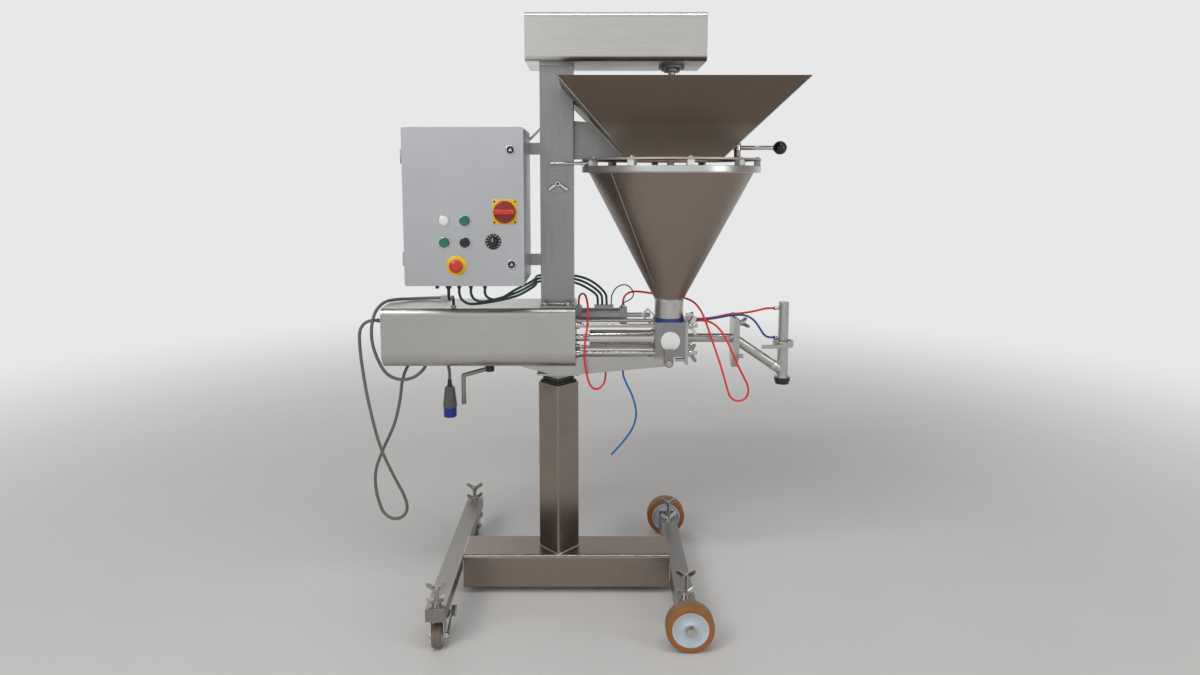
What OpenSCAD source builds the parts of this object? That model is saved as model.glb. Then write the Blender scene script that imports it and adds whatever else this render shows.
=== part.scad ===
// Floor-standing piston depositor for food, on a wheeled stand.
// Millimetres. The column stands at x = column_x, y = 0. Floor at z = 0, x to the right, y to the back.

/* [Stand] */
// Side of the square column tube, set edge to the front
column_side = 84; // [78:1:90]
// Height of the column top above the floor
column_top = 616; // [560:1:660]
// Side of the sliding inner post
post_side = 50; // [44:1:54]
// Depth of the cross beam, front to back
beam_depth = 126; // [122:1:140]
// Height of the cross beam
beam_height = 100; // [90:1:100]
// Top of the cross beam above the floor
beam_top = 118; // [116:1:122]
// Half of the left leg's length
left_leg_half = 335; // [330:1:345]
// Half of the right leg's length
right_leg_half = 290; // [270:1:300]
// Width of both legs
leg_width = 50; // [46:1:54]
// Height of the left leg tube
leg_height = 34; // [32:1:36]
// Height of the right leg tube
axle_leg_height = 52; // [46:1:54]
// Diameter of the two fixed wheels
wheel_d = 125; // [118:1:130]
// Width of the two fixed wheels
wheel_width = 40; // [32:1:46]
// Diameter of the two swivel wheels
caster_d = 60; // [54:1:60]

/* [Drive] */
// Length of the folded drive cover
cover_length = 536; // [500:1:560]
// Depth of the drive cover
cover_depth = 190; // [184:1:210]
// Height of the drive cover
cover_height = 170; // [166:1:176]
// Thickness of the folded sheet
sheet = 2; // [1.5:0.5:2.5]
// Bore of the product cylinder
product_bore = 40; // [32:1:42]
// Stroke of the piston
stroke = 150; // [100:5:150]
// Diameter of the tie rods
tie_d = 11; // [8:1:11]

/* [Hopper] */
// Distance of the hopper axis from the column axis
hopper_x = 318; // [314:1:322]
// Outer radius of the hopper rim
rim_r = 249; // [244:1:252]
// Outer radius of the cone under the rim
cone_r = 230; // [222:1:232]
// Outer radius of the hopper neck
neck_r = 41; // [38:1:42]
// Top of the hopper rim
rim_top = 1234; // [1224:1:1240]
// Side of the square funnel mouth
funnel_side = 608; // [580:1:620]
// Side of the square funnel foot
funnel_foot = 252; // [220:1:260]
// Height of the funnel walls
funnel_height = 192; // [170:1:196]

/* [Valve and nozzle] */
// Diameter of the rotary valve plug
plug_d = 54; // [48:1:54]
// Width of the valve block
block_width = 86; // [84:1:88]
// Outer diameter of the outlet pipe
pipe_d = 25; // [22:1:28]
// Outer diameter of the nozzle tube
nozzle_d = 31; // [29:1:32]

/* [Control box] */
// Width of the control box
box_width = 304; // [296:1:310]
// Height of the control box
box_height = 399; // [390:1:404]
// Depth of the control box with its door
box_depth = 200; // [180:1:210]

/* [Clearances] */
// Radial clearance of turning and sliding fits
fit = 0.05; // [0.03:0.01:0.08]
// Open gap between pieces that pass each other
gap = 0.5; // [0.4:0.1:0.8]

/* [Hidden] */
$fn = 48;
steel = [0.72, 0.72, 0.70];
dark = [0.12, 0.12, 0.13];
white = [0.92, 0.92, 0.90];
amber = [0.75, 0.42, 0.12];
column_wall = 5;
bush_top = column_top + 16;
post_sunk = 390;
beam_left = -275;
beam_right = 322;
beam_wall = 4;
leg_wall = 3;
left_x = beam_left - leg_width / 2;
right_x = beam_right + leg_width / 2;
axle_z = wheel_d / 2;
axle_r = 8;
right_top = axle_z + axle_leg_height / 2;
right_under = axle_z - axle_leg_height / 2;
left_top = beam_top;
left_under = left_top - leg_height;
wheel_in = right_leg_half + 8;
wheel_y = wheel_in + wheel_width / 2;
wheel_out = wheel_y + wheel_width / 2;
screw_r = 6;
jack_y = right_leg_half - 65;
brake_y = left_leg_half - 23;
pivot_y = left_leg_half - 49;
pivot_r = 8;
crown_top = left_under - 6;
pad_low = 26;
trail = 18;
caster_z = caster_d / 2;
caster_bore = 5;
mast_half = 46;
mast_wall = 4;
cover_right = mast_half + 5;
cover_left = cover_right - cover_length;
cover_under = bush_top + 43;
cover_top = cover_under + cover_height;
cover_y = cover_depth / 2;
roll_r = 44;
gland_reach = 30;
lead_y = -30;
lead_z = cover_top - 45;
hood_x = cover_left + 140;
hood_y = 50;
grommet_x = -288;
grommet_y = -66;
axis_z = cover_under + 69;
rod_r = 10;
air_r = 40;
air_front = cover_right - 11;
air_back = air_front - stroke - 120;
air_half = 50;
bulkhead = air_front + 8;
crank_x = air_back + 34;
crank_y = -20;
block_left = hopper_x - block_width / 2;
block_right = hopper_x + block_width / 2;
head_length = 24;
piston_x = block_left - 5 - head_length - stroke;
tie_y = 38;
tie_up = axis_z + 43;
tie_low = axis_z - 36;
tie_play = 0.2;
arm_tip = cover_under - 3;
bed_top = cover_under + 15;
plate_foot = cover_under + 1;
port_at = [136, 186];
port_y = -24;
port_low = cover_under - 13;
strap_z = cover_under + 7;
spool_x = hopper_x;
strap_x = spool_x - 4;
block_low = axis_z - 46;
block_up = axis_z + 53;
block_y = 45;
cap_front = -block_y - 4;
plate_right = block_right + 8;
seal_top = block_up + 9;
cone_low = seal_top + 51;
cone_wall = 2.3;
rim_low = rim_top - 17;
plate_low = rim_top + 15;
plate_up = plate_low + 5;
spacer_r = rim_r - 11;
spacer_turn = 6;
bolt_r = 3;
flange_x = plate_right + 139;
nozzle_x = flange_x + 140;
nozzle_low = axis_z - 116;
nozzle_in = nozzle_d / 2 - 3.5;
elbow_z = axis_z - 98;
ferrule_z = axis_z - 22;
ferrule_r = nozzle_d / 2 + 9;
cutoff_top = axis_z + 104;
cutoff_bore = 11;
lever_z = rim_top + 7.5;
lever_x = hopper_x - 224;
lever_y = -62;
stud_x = hopper_x + 187;
stud_z = plate_up + 32;
mast_low = cover_top + 6;
mast_top = plate_up + funnel_height + 64;
slot_z = rim_top - 59;
head_low = mast_top;
head_high = head_low + 127;
head_left = -mast_half - 35;
head_right = hopper_x + 83;
head_y = 103;
shaft_r = 10;
box_right = -mast_half - 28;
box_left = box_right - box_width;
box_back = -mast_half + 6;
box_front = box_back - box_depth;
box_low = cover_top + 84;
box_high = box_low + box_height;
box_corner = 6;
door_t = 18;
door_back = box_front + door_t;
pin_x = box_left - 4;
pin_r = 2;
knuckle_r = 4;
knuckle = 18;
hinge_places = [box_low + 50, box_high - 90];
door_hole = 10;
lamp_x = box_left + 103;
press_x = box_left + 155;
upper_z = box_low + 166;
lower_z = box_low + 111;
switch_x = box_left + 256;
switch_z = box_low + 188;
knob_x = box_left + 226;
knob_z = box_low + 113;
stop_x = box_left + 133;
stop_z = box_low + 52;
button_places = [[press_x, upper_z], [lamp_x, lower_z], [press_x, lower_z]];
other_places = [[lamp_x, upper_z], [stop_x, stop_z], [switch_x, switch_z], [knob_x, knob_z]];
stem_r = 8;
bezel_h = 4;
arm_z = 55;
arm_pin = arm_z * sqrt(2);
actuator_y = 63;
actuator_z = axis_z + arm_z;
actuator_right = 200;
gland_at = [66, 96, 124, 155, 192];
gland_y = door_back + 60;
gland_low = box_low - 18;
gland_hole = 6;
outlet_port_z = block_up;
port_end = plate_right + 28;
box_up = actuator_z + 30;
plug_x = -312;
plug_y = -20;
plug_high = cover_under - 47;
column_x = -(cover_left - gland_reach + nozzle_x + ferrule_r + 5.3) / 2;

// Cord routes from the column axis, in the order the cord runs
mains_route = [[cover_left - gland_reach, lead_y, lead_z], [-526, -30, 800], [-540, -30.8, 796.6],
    [-551, -31.8, 788.6], [-558.8, -33, 777], [-562, -35, 762], [-562, -37, 742], [-558, -40, 690],
    [-540, -45, 570], [-508, -49, 436], [-468, -46, 338], [-448, -41, 292], [-440, -36, 252],
    [-447.8, -32, 228], [-468.3, -27, 213], [-493.7, -22, 213], [-514.2, -18, 228], [-526, -14, 254],
    [-536, -11, 294], [-536, -9, 348], [-517, -8, 404], [-477, -10, 492], [-458, -12, 566], [-449, -14, 622],
    [-432, -15, 664], [-404, -16.5, 688], [-376, -18, 696], [-350, -18.6, 695], [-330.5, -19.2, 686],
    [-317, -19.7, 670], [plug_x, plug_y, 648], [plug_x, plug_y, plug_high]];
lead_route = [[hood_x, hood_y, cover_top + 7], [-357, 50, 852], [-390, 55, 850.5], [-433, 42, 850.5],
    [-468, 16, 853], [-495, -10, 849], [-512, -32, 831], [-520, -50, 800], [-520, -60, 750], [-503, -60, 690],
    [-479, -56, 650], [-444, -50, 634], [-408, -45, 640], [-380, -40, 664], [-366, -36, 700]];
green_run = [[-113, -100, 880], [-74, -62, 896], [-63, -20, 901], [-61, 36, 901], [-36, 66, 901],
    [20, 68, 901], [60, 67, 890], [92, 65, 873]];
black_route = [[box_left + gland_at[1], gland_y, gland_low], [-282, -162, 898], [-282.4, -159.5, 889],
    [-282.8, -153, 882], [-283.4, -143.5, 878.2], [-284.2, -132.5, 876.6], [-285, -121, 876],
    [-285.6, -109.5, 876.2], [-286.2, -97, 877], [-287, -85, 877], [-287.6, -75.5, 873.8],
    [-288, -68.6, 867], [grommet_x, grommet_y, 859], [grommet_x, grommet_y, cover_top + 5]];
sensor_route = [[154, 64, box_up], [154, 64, 837], [154, 64, 845], [155.5, 65, 856], [160, 66.5, 867],
    [167, 67.5, 877], [177, 68, 884.5], [188, 68, 888], [199, 67.5, 887], [209, 66, 881], [216, 63, 872],
    [219, 59, 862], [215, 54.5, 852], [205, 51, 844.5], [194, 49, 840], [186.5, 48.3, 834.5], [184, 48, 829],
    [184, 48, actuator_z + 23]];
red_left = [[air_front + 18, actuator_y, actuator_z + 32], [58, 63, 842], [60.3, 57.9, 855.5],
    [66, 47.5, 864], [72, 34, 867], [77.5, 18, 864.5], [82, 0, 855], [86, -28, 828], [84, -54, 789], [78, -67, 747],
    [75.5, -71, 707], [79, -69, 672], [85, -64.8, 642], [93, -58.4, 619.4], [105, -48.8, 606.5],
    [120, -36.8, 606.5], [132, -27.4, 619.4], [136, -24, 640], [port_at[0], port_y, port_low]];
red_right = [[port_end, -15, outlet_port_z], [410, -15, 797], [429, -19, 795], [450, -31, 784],
    [470, -46, 760], [488, -53, 722], [508, -54, 678], [527, -53, 640], [537.5, -51, 618], [540.5, -49.5, 599],
    [535.5, -48, 582.7], [521.8, -46.5, 572.3], [504.2, -45, 572.3], [490.5, -44, 582.7], [483, -43.2, 602],
    [472.5, -42, 638], [461, -40.5, 676], [448, -39, 714], [434, -37, 754], [421, -33, 792], [408, -20, 824],
    [391, 10, 845], [366, 46, 853], [328, 70, 857], [272, 76, 862], [234, 74, 867], [216, 69.8, 867],
    [202.5, 66, 862.8], [193, 63.8, 853.6], [189, 63, 842], [189, actuator_y, actuator_z + 32]];
red_nozzle = [[port_end, 15, outlet_port_z], [409, 15, 797], [422, 15.2, 797.4], [436, 15.6, 798.6],
    [450, 15.8, 800.6], [464, 16, 803.2], [478, 16, 806.4], [492, 15.6, 809.4], [506, 14.8, 811.2],
    [522, 13.4, 812.4], [538, 11.4, 814.6], [554, 8.6, 817.8], [570, 5.4, 821.8], [584, 2.6, 826],
    [596, 0.8, 829], [606, 0, 830], [nozzle_x - nozzle_d / 2 - 14, 0, cutoff_top - 18]];
blue_nozzle = [[port_end, 0, outlet_port_z], [409, 0, 797], [422, -0.2, 797.6], [436, -0.8, 799],
    [450, -1.8, 801.2], [464, -3, 804], [478, -4.2, 807], [492, -5.6, 809.8], [506, -7, 811.4], [520, -8, 812],
    [534, -8.8, 810.8], [546.5, -9, 806.4], [557.5, -8.6, 799.2], [567, -7.6, 789.6], [575, -6, 778.6],
    [582.6, -4, 767], [590.6, -1.8, 755.6], [599.5, -0.4, 748], [610, 0, 745],
    [nozzle_x - nozzle_d / 2 - 12, 0, ferrule_z + 23]];
blue_free = [[port_at[1], port_y, port_low], [186, -24, 655], [186, -24, 647], [187.5, -25.5, 637],
    [191.5, -29, 626], [197.5, -34, 614], [204, -39.5, 602], [210.5, -45, 588], [216, -49.5, 573],
    [220, -53, 557], [222, -54.8, 542], [221.5, -55, 525], [217, -55, 507], [210, -55, 490],
    [200, -55, 474], [186, -55, 455], [170, -55, 436], [152, -55, 416]];

// Small shapes used by many pieces
module place() { translate([column_x, 0, 0]) children(); }
module slab(x0, x1, y0, y1, z0, z1) { translate([x0, y0, z0]) cube([x1 - x0, y1 - y0, z1 - z0]); }
module rod_x(r, x0, x1, y, z) { translate([x0, y, z]) rotate([0, 90, 0]) cylinder(r = r, h = x1 - x0); }
module rod_y(r, y0, y1, x, z) { translate([x, y0, z]) rotate([-90, 0, 0]) cylinder(r = r, h = y1 - y0); }
module rod_z(r, z0, z1, x, y) { translate([x, y, z0]) cylinder(r = r, h = z1 - z0); }
module rounded(w, h, r) {
    square([w - 2 * r, h], center = true);
    square([w, h - 2 * r], center = true);
    for (i = [-1, 1]) for (j = [-1, 1]) translate([i * (w / 2 - r), j * (h / 2 - r)]) circle(r);
}
// A flat outline in y and z, drawn along x
module along_x(x0, x1) {
    translate([x0, 0, 0]) rotate([90, 0, 90]) linear_extrude(x1 - x0) children();
}
// A flat outline in x and z, drawn along y
module along_y(y0, y1) {
    translate([0, y1, 0]) rotate([90, 0, 0]) linear_extrude(y1 - y0) children();
}
module wing_half() { polygon([[0, 0], [8, 0], [25, 12], [27, 20], [20, 21], [0, 9]]); }
module wings() {
    along_y(-2, 2) {
        wing_half();
        mirror([1, 0]) wing_half();
    }
}
// Winged screw head with its hub, standing on z
module wing_head() {
    cylinder(r = 9, h = 12);
    translate([0, 0, 3]) wings();
}
// Winged lock nut round a screw
module wing_nut(hole) {
    difference() {
        union() {
            cylinder(r = 11, h = 10);
            translate([0, 0, 2]) rotate([0, 0, 18]) wings();
        }
        translate([0, 0, -1]) cylinder(r = hole, h = 40);
    }
}

// Stand
module pedestal() {
    color(steel) place() {
        difference() {
            along_x(beam_left, beam_right) translate([0, beam_top - beam_height / 2])
                rounded(beam_depth, beam_height, 10);
            along_x(beam_left - 1, beam_right + 1) translate([0, beam_top - beam_height / 2])
                square([beam_depth - 2 * beam_wall, beam_height - 2 * beam_wall], center = true);
        }
        translate([0, 0, beam_top]) rotate([0, 0, 45]) linear_extrude(column_top - beam_top) difference() {
            rounded(column_side, column_side, 5);
            square(column_side - 2 * column_wall, center = true);
        }
    }
}
module left_leg() {
    color(steel) place() difference() {
        slab(left_x - leg_width / 2, left_x + leg_width / 2, -left_leg_half, left_leg_half,
            left_under, left_top);
        slab(left_x - leg_width / 2 + leg_wall, left_x + leg_width / 2 - leg_wall, -left_leg_half + leg_wall,
            left_leg_half - leg_wall, left_under + leg_wall, left_top - leg_wall);
        for (s = [-1, 1]) {
            rod_z(screw_r + fit, left_under - 1, left_top + 1, left_x, s * brake_y);
            rod_z(pivot_r, left_under - 1, left_under + leg_wall + 1, left_x, s * pivot_y);
        }
    }
}
module right_leg() {
    color(steel) place() difference() {
        union() {
            slab(right_x - leg_width / 2, right_x + leg_width / 2, -right_leg_half, right_leg_half,
                right_under, right_top);
            for (s = [-1, 1]) translate([right_x, 0, axle_z]) rotate([s * -90, 0, 0])
                translate([0, 0, right_leg_half - 1])
                    cylinder(r = 15, h = wheel_in - right_leg_half + 1 - gap);
        }
        slab(right_x - leg_width / 2 + leg_wall, right_x + leg_width / 2 - leg_wall, -right_leg_half + 6,
            right_leg_half - 6, right_under + leg_wall, right_top - leg_wall);
        for (s = [-1, 1]) {
            rod_z(screw_r + fit, right_under - 1, right_top + 1, right_x, s * jack_y);
            rod_y(axle_r, s * right_leg_half - 20, s * right_leg_half + 20, right_x, axle_z);
        }
    }
}
module column_bush() {
    color(dark) place() rotate([0, 0, 45]) difference() {
        union() {
            translate([0, 0, column_top - 60]) linear_extrude(60)
                square(column_side - 2 * column_wall, center = true);
            translate([0, 0, column_top]) linear_extrude(6) rounded(column_side - 8, column_side - 8, 4);
            translate([0, 0, column_top + 6]) linear_extrude(bush_top - column_top - 6)
                rounded(column_side - 18, column_side - 18, 4);
        }
        translate([0, 0, column_top - 61]) linear_extrude(80) square(post_side + 2 * fit, center = true);
    }
}
// Axle bolts of the fixed wheels and lock nuts of the four wing screws
module base_fasteners() {
    color(steel) place() {
        for (s = [-1, 1]) {
            translate([right_x, 0, axle_z]) rotate([s * -90, 0, 0]) {
                translate([0, 0, right_leg_half - 6]) cylinder(r = axle_r, h = wheel_out - right_leg_half + 7);
                translate([0, 0, wheel_out + gap]) cylinder(r = 16, h = 2);
                translate([0, 0, wheel_out + gap + 2]) cylinder(r = 12, h = 8, $fn = 6);
            }
            translate([left_x, s * brake_y, left_top]) wing_nut(screw_r + fit);
            translate([right_x, s * jack_y, right_top]) wing_nut(screw_r + fit);
        }
    }
}
// Fixed wheel on its own axis, width along z
module fixed_wheel() {
    half = wheel_width / 2;
    r = wheel_d / 2;
    rotate_extrude() {
        translate([axle_r + fit, -half + 3]) square([r - 20, wheel_width - 6]);
        translate([r - 17, -half]) square([11, wheel_width]);
        translate([r - 10, -half + 6]) square([10, wheel_width - 12]);
        for (s = [-1, 1]) translate([r - 6, s * (half - 6)]) circle(6);
        translate([axle_r + fit, -half]) square([14, wheel_width]);
    }
}
module wheel_at(y) { color(amber) place() translate([right_x, y, axle_z]) rotate([90, 0, 0]) fixed_wheel(); }
module wheel_front() { wheel_at(-wheel_y); }
module wheel_rear() { wheel_at(wheel_y); }
// Swivel fork about its own pivot, wheel trailing towards -y
module fork() {
    translate([0, 0, crown_top - 6]) cylinder(r = 31.5, h = 6);
    translate([0, 0, crown_top]) cylinder(r = 14, h = left_under - crown_top);
    translate([0, 0, left_under]) cylinder(r = pivot_r - fit, h = leg_wall);
    for (s = [-1, 1]) rotate([90, 0, 90]) translate([0, 0, s * 16.5 - 1.5]) linear_extrude(3)
        polygon([[-25, crown_top - 3], [22, crown_top - 3], [8, caster_z + 12], [-trail + 9, caster_z - 9],
            [-trail - 9, caster_z - 9], [-trail - 11, caster_z + 12]]);
    rod_x(caster_bore, -18, 18, -trail, caster_z);
    for (s = [-1, 1]) rod_x(8, s * 20 - 2, s * 20 + 2, -trail, caster_z);
    rod_x(4, 20, 31, -trail, caster_z);
    rod_x(6.5, 28, 32, -trail, caster_z);
}
module fork_front() { color(steel) place() translate([left_x, -pivot_y, 0]) fork(); }
module fork_rear() { color(steel) place() translate([left_x, pivot_y, 0]) rotate([0, 0, 180]) fork(); }
// Swivel wheel on its own axis along x
module swivel_wheel() {
    rotate([0, 90, 0]) rotate_extrude() {
        translate([caster_bore + fit, -12]) square([caster_d / 2 - caster_bore - 3 - fit, 24]);
        translate([caster_d / 2 - 6, -9]) square([6, 18]);
        for (s = [-1, 1]) translate([caster_d / 2 - 3, s * 9]) circle(3);
        translate([caster_bore + fit, -14.5]) square([7, 29]);
    }
}
module caster_front() { color(dark) place() translate([left_x, -pivot_y - trail, caster_z]) swivel_wheel(); }
module caster_rear() { color(dark) place() translate([left_x, pivot_y + trail, caster_z]) swivel_wheel(); }
// Brake lever on the axle end of a fork, paddle towards +y
module pedal() {
    difference() {
        union() {
            rod_x(9, 22.3, 27.5, -trail, caster_z);
            translate([22.5, -trail, caster_z]) rotate([24, 0, 0]) slab(0, 5, 0, 62, -4, 4);
            translate([22.5, -trail, caster_z]) rotate([24, 0, 0]) slab(0, 15, 54, 84, -2, 3);
        }
        rod_x(4 + fit, 22, 30, -trail, caster_z);
    }
}
module pedal_front() { color(steel) place() translate([left_x, -pivot_y, 0]) pedal(); }
module pedal_rear() { color(steel) place() translate([left_x, pivot_y, 0]) rotate([0, 0, 180]) pedal(); }
module wing_screw(low, high, pad_r) {
    translate([0, 0, low]) cylinder(r = pad_r, h = 6);
    translate([0, 0, low + 6]) cylinder(r = screw_r, h = high - low - 6);
    translate([0, 0, high]) wing_head();
}
module brake_screw(y) {
    color(steel) place() translate([left_x, y, 0]) wing_screw(crown_top + 3, left_top + 34, 5);
}
module brake_screw_front() { brake_screw(-brake_y); }
module brake_screw_rear() { brake_screw(brake_y); }
module jack_screw(y) {
    color(steel) place() translate([right_x, y, 0]) wing_screw(pad_low, right_top + 50, 15);
}
module jack_screw_front() { jack_screw(-jack_y); }
module jack_screw_rear() { jack_screw(jack_y); }

// Lift: frame, drive and mast
module lift_frame() {
    tip_x = hopper_x + 4;
    color(steel) place() {
        rotate([0, 0, 45]) translate([0, 0, column_top - post_sunk])
            linear_extrude(post_sunk + bush_top - column_top) square(post_side, center = true);
        rotate([0, 0, 45]) translate([0, 0, bush_top]) linear_extrude(10)
            square(post_side + 10, center = true);
        difference() {
            union() {
                for (s = [-1, 1]) along_y(s * 42.5 - 2.5, s * 42.5 + 2.5)
                    polygon([[-130, bed_top], [-130, bed_top - 12], [0, bush_top + 10], [tip_x, arm_tip],
                        [tip_x, arm_tip + 20], [block_left - 3, arm_tip + 20], [block_left - 3, tie_low - 11],
                        [bulkhead, tie_low - 11], [bulkhead, bed_top]]);
                slab(-130, bulkhead, -40, 40, bed_top - 6, bed_top);
                slab(-60, 60, -40, 40, bush_top + 10, bush_top + 16);
                slab(block_left - 9, block_left - 3, -40, 40, plate_foot, block_low - 4);
                intersection() {
                    along_x(air_front, bulkhead) cover_outline(sheet + 3);
                    slab(air_front, bulkhead, -cover_y, cover_y, bed_top, cover_top);
                }
                rod_y(5, cap_front - 8, -44, strap_x, strap_z);
                rod_y(8, cap_front - 11, cap_front - 7, strap_x, strap_z);
                for (x = port_at) {
                    slab(x - 8, x + 8, -41, -16, port_low + 14, port_low + 20);
                    rod_z(5, port_low, port_low + 15, x, port_y);
                }
            }
            rod_x(rod_r + fit, air_front - 1, bulkhead + 1, 0, axis_z);
        }
    }
}
// Folded cover, open below between its rolled edges and closed at the left end
module cover_outline(inset) {
    r_up = 18 - inset;
    r_low = roll_r - inset;
    y = cover_y - inset;
    top = cover_top - inset;
    low = cover_under + inset;
    union() {
        translate([-y + r_up, low + r_low]) square([2 * (y - r_up), top - low - r_low]);
        translate([-y, low + r_low]) square([2 * y, top - low - r_low - r_up]);
        for (s = [-1, 1]) translate([s * (y - r_up), top - r_up]) circle(r_up);
        translate([-y + r_low, low]) square([2 * (y - r_low), r_low + 1]);
        for (s = [-1, 1]) translate([s * (y - r_low), low + r_low]) circle(r_low);
    }
}
module drive_cover() {
    color(steel) place() {
        difference() {
            along_x(cover_left, cover_right) cover_outline(0);
            along_x(cover_left + sheet, cover_right + 1) cover_outline(sheet);
            slab(cover_left + 40, cover_right + 1, -cover_y + roll_r, cover_y - roll_r,
                cover_under - 1, cover_under + 12);
        }
        // Tapered strain relief, hood of the upper lead and grommet
        translate([cover_left + 1, lead_y, lead_z]) rotate([0, -90, 0]) {
            cylinder(r = 10, h = 7, $fn = 6);
            cylinder(r1 = 8, r2 = 5, h = gland_reach + 1);
        }
        slab(hood_x, hood_x + 23, hood_y - 10, hood_y + 10, cover_top - 1, cover_top + 15);
        rod_z(8, cover_top - 1, cover_top + 5, grommet_x, grommet_y);
    }
}
// Air cylinder with square ends, and the stroke gearbox under its back end
module air_cylinder() {
    color([0.6, 0.6, 0.62]) place() difference() {
        union() {
            rod_x(air_r + 5, air_back + 20, air_front - 20, 0, axis_z);
            slab(air_back, air_back + 40, -air_half, air_half, axis_z - air_half, axis_z + air_half);
            slab(air_front - 40, air_front, -air_half, air_half, axis_z - air_half, axis_z + air_half);
            slab(crank_x - 30, crank_x + 30, -45, 45, cover_under - 3, axis_z - air_half);
        }
        rod_x(air_r, air_back + 30, air_front - 30, 0, axis_z);
        rod_x(rod_r + fit, air_front - 31, air_front + 1, 0, axis_z);
        rod_z(8 + fit, cover_under - 4, cover_under + 14, crank_x, crank_y);
    }
}
module mast() {
    color(steel) place() {
        difference() {
            slab(-mast_half, mast_half, -mast_half, mast_half, mast_low, mast_top);
            slab(-mast_half + mast_wall, mast_half - mast_wall, -mast_half + mast_wall, mast_half - mast_wall,
                mast_low + mast_wall, mast_top - mast_wall);
        }
        slab(-mast_half, mast_half, 10 - cover_y, cover_y - 10, cover_top, mast_low);
        // Slotted plate and its wing nut on the front
        along_y(-mast_half - 2, -mast_half) {
            translate([-26, slot_z]) square([52, 52]);
            translate([-12, slot_z - 14]) square([24, 15]);
            for (s = [-1, 1]) translate([s * 12, slot_z]) circle(14);
        }
        rod_y(9, -mast_half - 9, -mast_half - 2, 3, slot_z + 11);
        translate([3, -mast_half - 8, slot_z + 13]) rotate([0, 180, 0]) wings();
        // Side plate that carries the funnel
        along_y(18, 23) polygon([[mast_half - 1, plate_up], [hopper_x - funnel_foot / 2 - 3, plate_up],
            [hopper_x - funnel_foot / 2 - 100, plate_up + 104], [mast_half - 1, plate_up + 108]]);
        // Straps that carry the control box
        for (z = [box_low + 30, box_high - 62])
            slab(box_right - 60, -mast_half + 1, box_back, box_back + 6, z, z + 32);
        along_y(box_back, box_back + 6) polygon([[-mast_half + 1, box_high + 12],
            [-mast_half + 1, box_high + 4], [box_right - 6, box_high - 31], [box_right - 15, box_high - 31]]);
    }
}
module head_outline(inset) {
    translate([0, (head_low + head_high) / 2])
        rounded(2 * head_y - 2 * inset, head_high - head_low - 2 * inset, 14 - inset);
}
module top_cover() {
    color(steel) place() difference() {
        along_x(head_left, head_right) head_outline(0);
        along_x(head_left + sheet, head_right - sheet) head_outline(sheet);
        rod_z(26, head_low - 1, head_low + 5, hopper_x, 0);
    }
}
// Geared motor in the top cover, with the bearing flange under it
module agitator_drive() {
    color([0.55, 0.56, 0.58]) place() difference() {
        union() {
            rod_z(36, head_low - 7, head_low, hopper_x, 0);
            rod_z(22, head_low - 16, head_low - 6, hopper_x, 0);
            rod_z(25, head_low - 1, head_low + 12, hopper_x, 0);
            slab(hopper_x - 48, hopper_x + 48, -45, 45, head_low + 10, head_low + 110);
            rod_x(44, mast_half + 24, hopper_x - 47, 0, head_low + 60);
            for (a = [45:90:315]) translate([hopper_x, 0, 0]) rotate([0, 0, a])
                rod_z(5, head_low - 11, head_low - 6, 29, 0);
        }
        rod_z(shaft_r + fit, head_low - 17, head_low + 90, hopper_x, 0);
    }
}

// Hopper
// The ten spacer places round the rim
module round_rim() {
    for (i = [0:9]) rotate([0, 0, i * 36 + spacer_turn]) children();
}
module hopper_cone() {
    color(steel) place() translate([hopper_x, 0, 0]) difference() {
        rotate_extrude() polygon([[neck_r, seal_top], [neck_r, cone_low], [cone_r, rim_low], [rim_r, rim_low],
            [rim_r, rim_top], [cone_r - cone_wall, rim_top], [cone_r - cone_wall, rim_low],
            [neck_r - cone_wall, cone_low + 1], [neck_r - cone_wall, seal_top]]);
        round_rim() rod_z(bolt_r + 0.2, rim_top - 12, rim_top + 1, 0, -spacer_r);
        rod_z(bolt_r + 0.2, rim_top - 12, rim_top + 1, lever_x - hopper_x, lever_y);
    }
}
module neck_seal() {
    color([0.1, 0.2, 0.6]) place() translate([hopper_x, 0, block_up]) difference() {
        cylinder(r = neck_r + 1.5, h = seal_top - block_up);
        translate([0, 0, -1]) cylinder(r = neck_r - 3, h = 20);
    }
}
module spacer_blocks() {
    color(white) place() translate([hopper_x, 0, rim_top]) round_rim() difference() {
        slab(-9, 9, -spacer_r - 9, -spacer_r + 9, 0, plate_low - rim_top);
        rod_z(bolt_r + 0.2, -1, 30, 0, -spacer_r);
    }
}
module rim_bolts() {
    color(steel) place() translate([hopper_x, 0, 0]) {
        round_rim() {
            rod_z(bolt_r, rim_top - 12, plate_up, 0, -spacer_r);
            rod_z(5.8, plate_up, plate_up + 5, 0, -spacer_r, $fn = 6);
        }
        rod_z(bolt_r, rim_top - 12, plate_up, lever_x - hopper_x, lever_y);
        rod_z(5.8, plate_up, plate_up + 5, lever_x - hopper_x, lever_y, $fn = 6);
    }
}
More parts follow.
